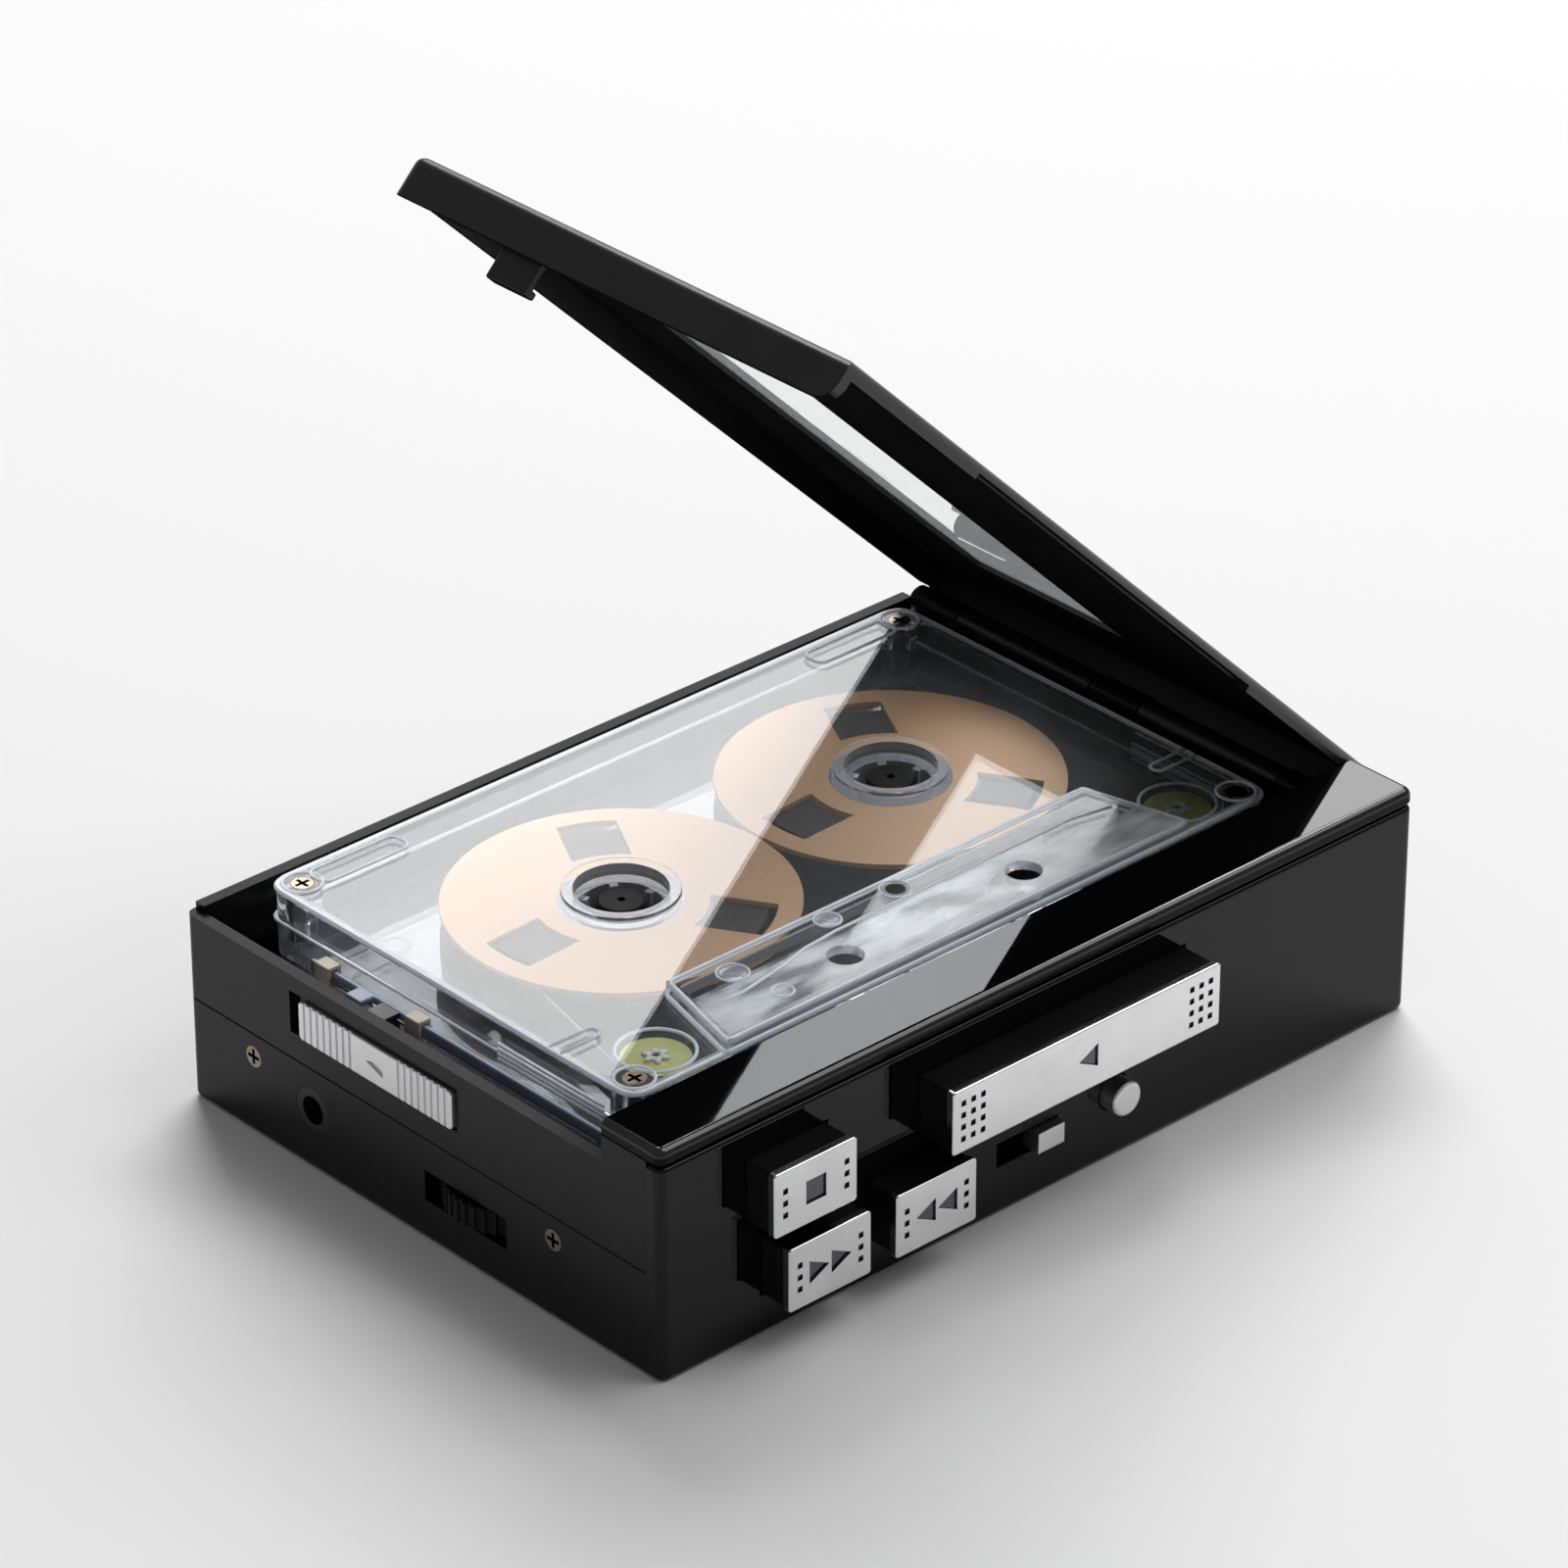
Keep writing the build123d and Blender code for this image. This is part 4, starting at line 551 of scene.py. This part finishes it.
def wire(shape, path, radius, closed=True, sides=10):
    """Round wire along a level path, added to a mesh being built."""
    count = len(path)
    angles = [2 * pi * k / sides for k in range(sides)]
    rings = []
    for i, point in enumerate(path):
        before = path[i - 1] if closed or i > 0 else point
        after = path[(i + 1) % count] if closed or i < count - 1 else point
        along = (after - before).normalized()
        side = along.cross(UP).normalized()
        lift = side.cross(along)
        offsets = [radius * (cos(angle) * side + sin(angle) * lift) for angle in angles]
        rings.append(add_ring(shape, [point + offset for offset in offsets]))
    for first, second in zip(rings, rings[1:]):
        skin(shape, first, second)
    if closed:
        skin(shape, rings[-1], rings[0])
    else:
        shape.faces.new(rings[0])
        shape.faces.new(rings[-1])


def arc(centre, radius, start, stop, height, steps=10):
    """Points on a level arc, angles in degrees."""
    points = []
    for i in range(steps + 1):
        angle = radians(start + (stop - start) * i / steps)
        points.append(Vector((centre[0] + radius * cos(angle), centre[1] + radius * sin(angle), height)))
    return points


def ring_path(centre, radius, height, steps=40):
    """Points on a level circle."""
    return arc(centre, radius, 0, 360 - 360 / steps, height, steps - 1)


def box_path(low, high, radius, height):
    """Level rectangle with round corners."""
    return (arc((high[0] - radius, high[1] - radius), radius, 0, 90, height)
            + arc((low[0] + radius, high[1] - radius), radius, 90, 180, height)
            + arc((low[0] + radius, low[1] + radius), radius, 180, 270, height)
            + arc((high[0] - radius, low[1] + radius), radius, 270, 360, height))


def dome(shape, centre, radius, foot, rise, steps=28):
    """Low round dome, added to a mesh being built."""
    rows = []
    for share in (1.0, 0.85, 0.55):
        height = foot + rise * (1 - share ** 4)
        rows.append(add_ring(shape, ring_path(centre, radius * share, height, steps)))
    for first, second in zip(rows, rows[1:]):
        skin(shape, first, second)
    shape.faces.new(rows[-1])
    shape.faces.new(rows[0])


def mirrored(path):
    """The same path on the other side of the cassette's middle."""
    return [Vector((2 * cassette_middle.x - point.x, point.y, point.z)) for point in path]


# Edge round the top of the clear cassette, as a whitish wire of painted highlight
edge_wire = 0.34 * MM
edge_inset = 0.32 * MM
shape = bmesh.new()
wire(shape, box_path((shell_low.x + edge_inset, shell_low.y + edge_inset),
                     (shell_high.x - edge_inset, shell_high.y - edge_inset), corner_round,
                     cassette_top - edge_inset), edge_wire)
piece("cassette_top_edge", shape, "clear_edge", "base")

# Seam between its two halves, along the back and the ends, as a white wire of painted highlight
seam_wire = 0.24 * MM
seam_inset = 0.16 * MM
seam_front = shell_low.y + 2 * corner_round
seam_round = corner_round - seam_inset
seam_back = shell_high.y - corner_round
seam = [Vector((shell_high.x - seam_inset, seam_front, seam_level))]
seam += arc((shell_high.x - corner_round, seam_back), seam_round, 0, 90, seam_level)
seam += arc((shell_low.x + corner_round, seam_back), seam_round, 90, 180, seam_level)
seam += [Vector((shell_low.x + seam_inset, seam_front, seam_level))]
shape = bmesh.new()
wire(shape, seam, seam_wire, closed=False)
piece("cassette_seam", shape, "edge_bright", "base")

# Stack of ridges on both ends, as white wires of painted highlight
ridge_wire = 0.24 * MM
ridge_pitch = 0.66 * MM
ridge_count = 4
ridge_top = seam_level + 1.1 * MM
ridge_front = shell_low.y + 4.7 * MM
ridge_back = ridge_front + 18.0 * MM
shape = bmesh.new()
for i in range(ridge_count):
    ridge = [Vector((shell_low.x, y, ridge_top - i * ridge_pitch)) for y in (ridge_front, ridge_back)]
    wire(shape, ridge, ridge_wire, closed=False)
    wire(shape, mirrored(ridge), ridge_wire, closed=False)
piece("cassette_end_ridges", shape, "edge_bright", "base")

# Loops and recesses moulded into the top, and rims round the screws, as whitish wires of painted highlight
mark_wire = 0.22 * MM
loop_half = 0.95 * MM
loop_start = shell_low.x + edge_inset
loop_end = shell_low.x + 5.6 * MM
loop_y = shell_low.y + 13.3 * MM
recess_start = shell_low.x + 4.8 * MM
recess_back = shell_high.y - 1.5 * MM
recess_length = 13.0 * MM
recess_width = 3.4 * MM
recess_round = 1.2 * MM
loop = [Vector((loop_start, loop_y + loop_half, cassette_top))]
loop += arc((loop_end, loop_y), loop_half, 90, -90, cassette_top)
loop += [Vector((loop_start, loop_y - loop_half, cassette_top))]
recess = box_path((recess_start, recess_back - recess_width), (recess_start + recess_length, recess_back),
                  recess_round, cassette_top)
shape = bmesh.new()
wire(shape, loop, mark_wire, closed=False)
wire(shape, mirrored(loop), mark_wire, closed=False)
wire(shape, recess, mark_wire)
wire(shape, mirrored(recess), mark_wire)
for x in (shell_low.x + screw_inset, shell_high.x - screw_inset):
    for y in (shell_low.y + screw_inset, shell_high.y - screw_inset):
        wire(shape, ring_path((x, y), screw_rim, cassette_top), mark_wire)
piece("cassette_marks", shape, "clear_edge", "base")

# Rims over the guide rollers, as whitish wires of painted highlight
guide_rim = 4.6 * MM
guide_rim_level = cassette_top - 1.3 * MM
shape = bmesh.new()
for guide in guides.values():
    wire(shape, ring_path(guide, guide_rim, guide_rim_level), mark_wire)
piece("guide_rims", shape, "clear_edge", "base")

# Raised end over the heads
head_back = head_front + 14.0 * MM
head_back_half = 32.75 * MM
head_front_half = 36.3 * MM
head_round = 0.8 * MM
head_corners = [Vector((cassette_middle.x + x, y, 0)) for x, y in (
    (-head_back_half, head_back), (-head_front_half, head_front),
    (head_front_half, head_front), (head_back_half, head_back))]
head_centre = Vector((cassette_middle.x, (head_front + head_back) / 2, 0))


def head_outline(height, inset):
    """Level outline of the raised end, with blunt corners, drawn in by an inset."""
    outline = []
    for i, corner in enumerate(head_corners):
        to_last = (head_corners[i - 1] - corner).normalized() * head_round
        to_next = (head_corners[(i + 1) % len(head_corners)] - corner).normalized() * head_round
        here = corner + (head_centre - corner).normalized() * inset + height * UP
        outline += [here + to_last, here + (to_last + to_next) / 4, here + to_next]
    return outline


def head_place(x, y):
    """Place on the raised end, in millimetres from the cassette's middle and from its front."""
    return cassette_middle.x + x * MM, head_front + y * MM


# Its edges and its inner wall, as whitish wires of painted highlight
wall_wire = 0.25 * MM
wall_level = head_top - 0.1 * MM
wall_bends = ((-33.4, 6.8), (-27.8, 6.5), (-20.3, 7.7), (-16.4, 8.8), (-11.1, 9.3), (9.2, 9.3), (26.2, 9.4),
              (31.8, 8.3))
shape = bmesh.new()
wire(shape, head_outline(head_top - edge_inset, edge_inset), edge_wire)
wire(shape, head_outline(cassette_top, -edge_inset / 2), edge_wire)
wire(shape, [Vector((*head_place(x, y), wall_level)) for x, y in wall_bends], wall_wire, closed=False)
piece("head_end_edges", shape, "clear_edge", "base")

# Its round bosses: whitish rings of painted highlight, two of them round clear discs and one round a dark disc of
# painted shade that stands in for a hole
boss_wire = 0.16 * MM
disc_gap = 0.1 * MM
disc_rise = 0.16 * MM
shade_disc_gap = 0.3 * MM
shade_disc_rise = 0.08 * MM
dome_foot = head_top - 0.05 * MM
left_boss = (head_place(-26.0, 10.3), 1.9 * MM)
middle_boss = (head_place(-10.2, 11.7), 1.6 * MM)
socket_boss = (head_place(0.2, 11.5), 1.9 * MM)
front_boss = (head_place(-24.5, 3.6), 1.3 * MM)
shape = bmesh.new()
for centre, reach in (left_boss, middle_boss, socket_boss, front_boss):
    wire(shape, ring_path(centre, reach, head_top), boss_wire)
piece("head_end_bosses", shape, "clear_edge", "base")

# Dark disc of painted shade where the boss has a hole
shape = bmesh.new()
centre, reach = socket_boss
dome(shape, centre, reach - shade_disc_gap, dome_foot, shade_disc_rise)
piece("head_end_hole_shade", shape, "spindle_black", "base")

shape = bmesh.new()
for centre, reach in (left_boss, middle_boss):
    dome(shape, centre, reach - disc_gap, dome_foot, disc_rise)
piece("head_end_discs", shape, "hub_clear", "base")

# Bright wire along the latch bar, between its clips
bright_wire = 0.17 * MM
wire_end = 1.0 * MM
clip_low, clip_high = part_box("latch_clips")
wire_x = clip_low.x + 0.3 * MM
wire_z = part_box("latch_bar")[0].z + 0.75 * MM
wire_stops = (clip_low.y + wire_end, middle_of("latch_clips").y, clip_high.y - wire_end)
shape = bmesh.new()
wire(shape, [Vector((wire_x, y, wire_z)) for y in wire_stops], bright_wire, closed=False)
piece("latch_wire", shape, "bright_steel", "latch")

# Lobed star in the middle of each guide roller
star_reach = 1.35 * MM
star_depth = 0.35 * MM
star_lobes = 6
star_hole = 0.5 * MM
star_height = 0.35 * MM
star_shoulder = 0.6 * star_height
star_taper = 0.85
star_steps = 72


def star_path(centre, height, swell):
    """Level outline of a lobed star."""
    points = []
    for i in range(star_steps):
        angle = 2 * pi * i / star_steps
        reach = (star_reach + star_depth * cos(star_lobes * angle)) * swell
        points.append(Vector((centre.x + reach * cos(angle), centre.y + reach * sin(angle), height)))
    return points


for side, guide in guides.items():
    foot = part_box(f"{side}_guide_roller")[1].z
    top = foot + star_height
    shape = bmesh.new()
    rows = [add_ring(shape, path) for path in (
        star_path(guide, foot, 1.0), star_path(guide, foot + star_shoulder, 1.0),
        star_path(guide, top, star_taper), ring_path(guide, star_hole, top, star_steps),
        ring_path(guide, star_hole, foot, star_steps))]
    for first, second in zip(rows, rows[1:] + rows[:1]):
        skin(shape, first, second)
    piece(f"{side}_guide_star", shape, "guide_white", f"{side}_guide")

# Camera at the photograph's angle
camera_place = Vector((-0.50474, -0.54860, 0.45839))
camera_azimuth = radians(-42.4296)
camera_elevation = radians(29.5399)
camera_roll = radians(-0.0876)
camera_lens = 170.82
sensor_width = 36
nearest_seen = 0.05

rightward = Vector((cos(camera_azimuth), sin(camera_azimuth), 0))
towards_camera = Vector((sin(camera_azimuth), -cos(camera_azimuth), 0))
backward = cos(camera_elevation) * towards_camera + sin(camera_elevation) * UP
upward = backward.cross(rightward)
right_way = cos(camera_roll) * rightward + sin(camera_roll) * upward
up_way = cos(camera_roll) * upward - sin(camera_roll) * rightward
camera_data = bpy.data.cameras.new("camera")
camera_data.lens = camera_lens
camera_data.sensor_width = sensor_width
camera_data.clip_start = nearest_seen
camera = bpy.data.objects.new("camera", camera_data)
turn = Matrix((right_way, up_way, backward)).transposed().to_4x4()
camera.matrix_world = Matrix.Translation(camera_place) @ turn
bpy.context.scene.collection.objects.link(camera)
bpy.context.scene.camera = camera

# Floor
floor_half = 4.0
floor_level = cad_box[0][2] - 0.02 * MM
floor_mesh = bpy.data.meshes.new("floor")
sheet = bmesh.new()
bmesh.ops.create_grid(sheet, x_segments=2, y_segments=2, size=floor_half)
bmesh.ops.translate(sheet, verts=sheet.verts, vec=(0, 0, floor_level))
sheet.to_mesh(floor_mesh)
sheet.free()
floor = bpy.data.objects.new("floor", floor_mesh)
bpy.context.scene.collection.objects.link(floor)


def paper(name):
    """White paper with painted shade: its tone falls off from the object towards the near left, where the lamps
    light it less.
    """
    far_tone = 0.91
    shaded_near_tone = 0.86
    fall_length = 0.24
    near_left = 0.8 * towards_camera - rightward
    tree, shader = new_finish(name)
    place = object_place(tree)
    # Painted shade across the floor
    shade_fall = vectors(tree, "DOT_PRODUCT", place, near_left, "Value")
    tone = spread(tree, shade_fall, far_tone, shaded_near_tone, 0.0, fall_length)
    shade = add(tree, "ShaderNodeCombineColor", Red=tone, Green=tone, Blue=tone).outputs["Color"]
    fibre = noise(tree, place, fibre_size, roughness=0.6)
    set_shader(tree, shader, Base_Color=shade, Roughness=spread(tree, fibre, 0.6, 0.7),
               Normal=bump(tree, fibre, fibre_depth))


paper("floor_paper")
floor_mesh.materials.append(finishes["floor_paper"])

# Light
aim = Vector((0, 0, 0.03))


def lamp_place(swing, rise, distance):
    """Place swung to the right from straight behind the object, as the camera sees it, angles in degrees."""
    ahead = sin(radians(swing)) * rightward - cos(radians(swing)) * towards_camera
    return aim + distance * (cos(radians(rise)) * ahead + sin(radians(rise)) * UP)


def softbox(name, swing, rise, distance, width, height, luminance):
    """Rectangular lamp of even brightness, aimed at the object."""
    data = bpy.data.lights.new(name, "AREA")
    data.shape = "RECTANGLE"
    data.size = width
    data.size_y = height
    data.energy = luminance * width * height * pi
    place = lamp_place(swing, rise, distance)
    turn = (place - aim).to_track_quat("Z", "Y").to_matrix().to_4x4()
    lamp = bpy.data.objects.new(name, data)
    lamp.matrix_world = Matrix.Translation(place) @ turn
    bpy.context.scene.collection.objects.link(lamp)


softbox("back_panel", swing=0, rise=30, distance=2.6, width=1.4, height=0.85, luminance=3.3)
softbox("key_softbox", swing=6, rise=52, distance=2.5, width=1.5, height=0.7, luminance=9.6)
softbox("right_softbox", swing=70, rise=58, distance=3.0, width=2.5, height=2.0, luminance=2.0)

world_strength = 0.22
world = bpy.data.worlds.new("studio")
world.use_nodes = True
sky = world.node_tree.nodes["Background"]
sky.inputs["Color"].default_value = (1.0, 1.0, 1.0, 1)
sky.inputs["Strength"].default_value = world_strength
bpy.context.scene.world = world
bpy.context.scene.view_settings.view_transform = "Standard"
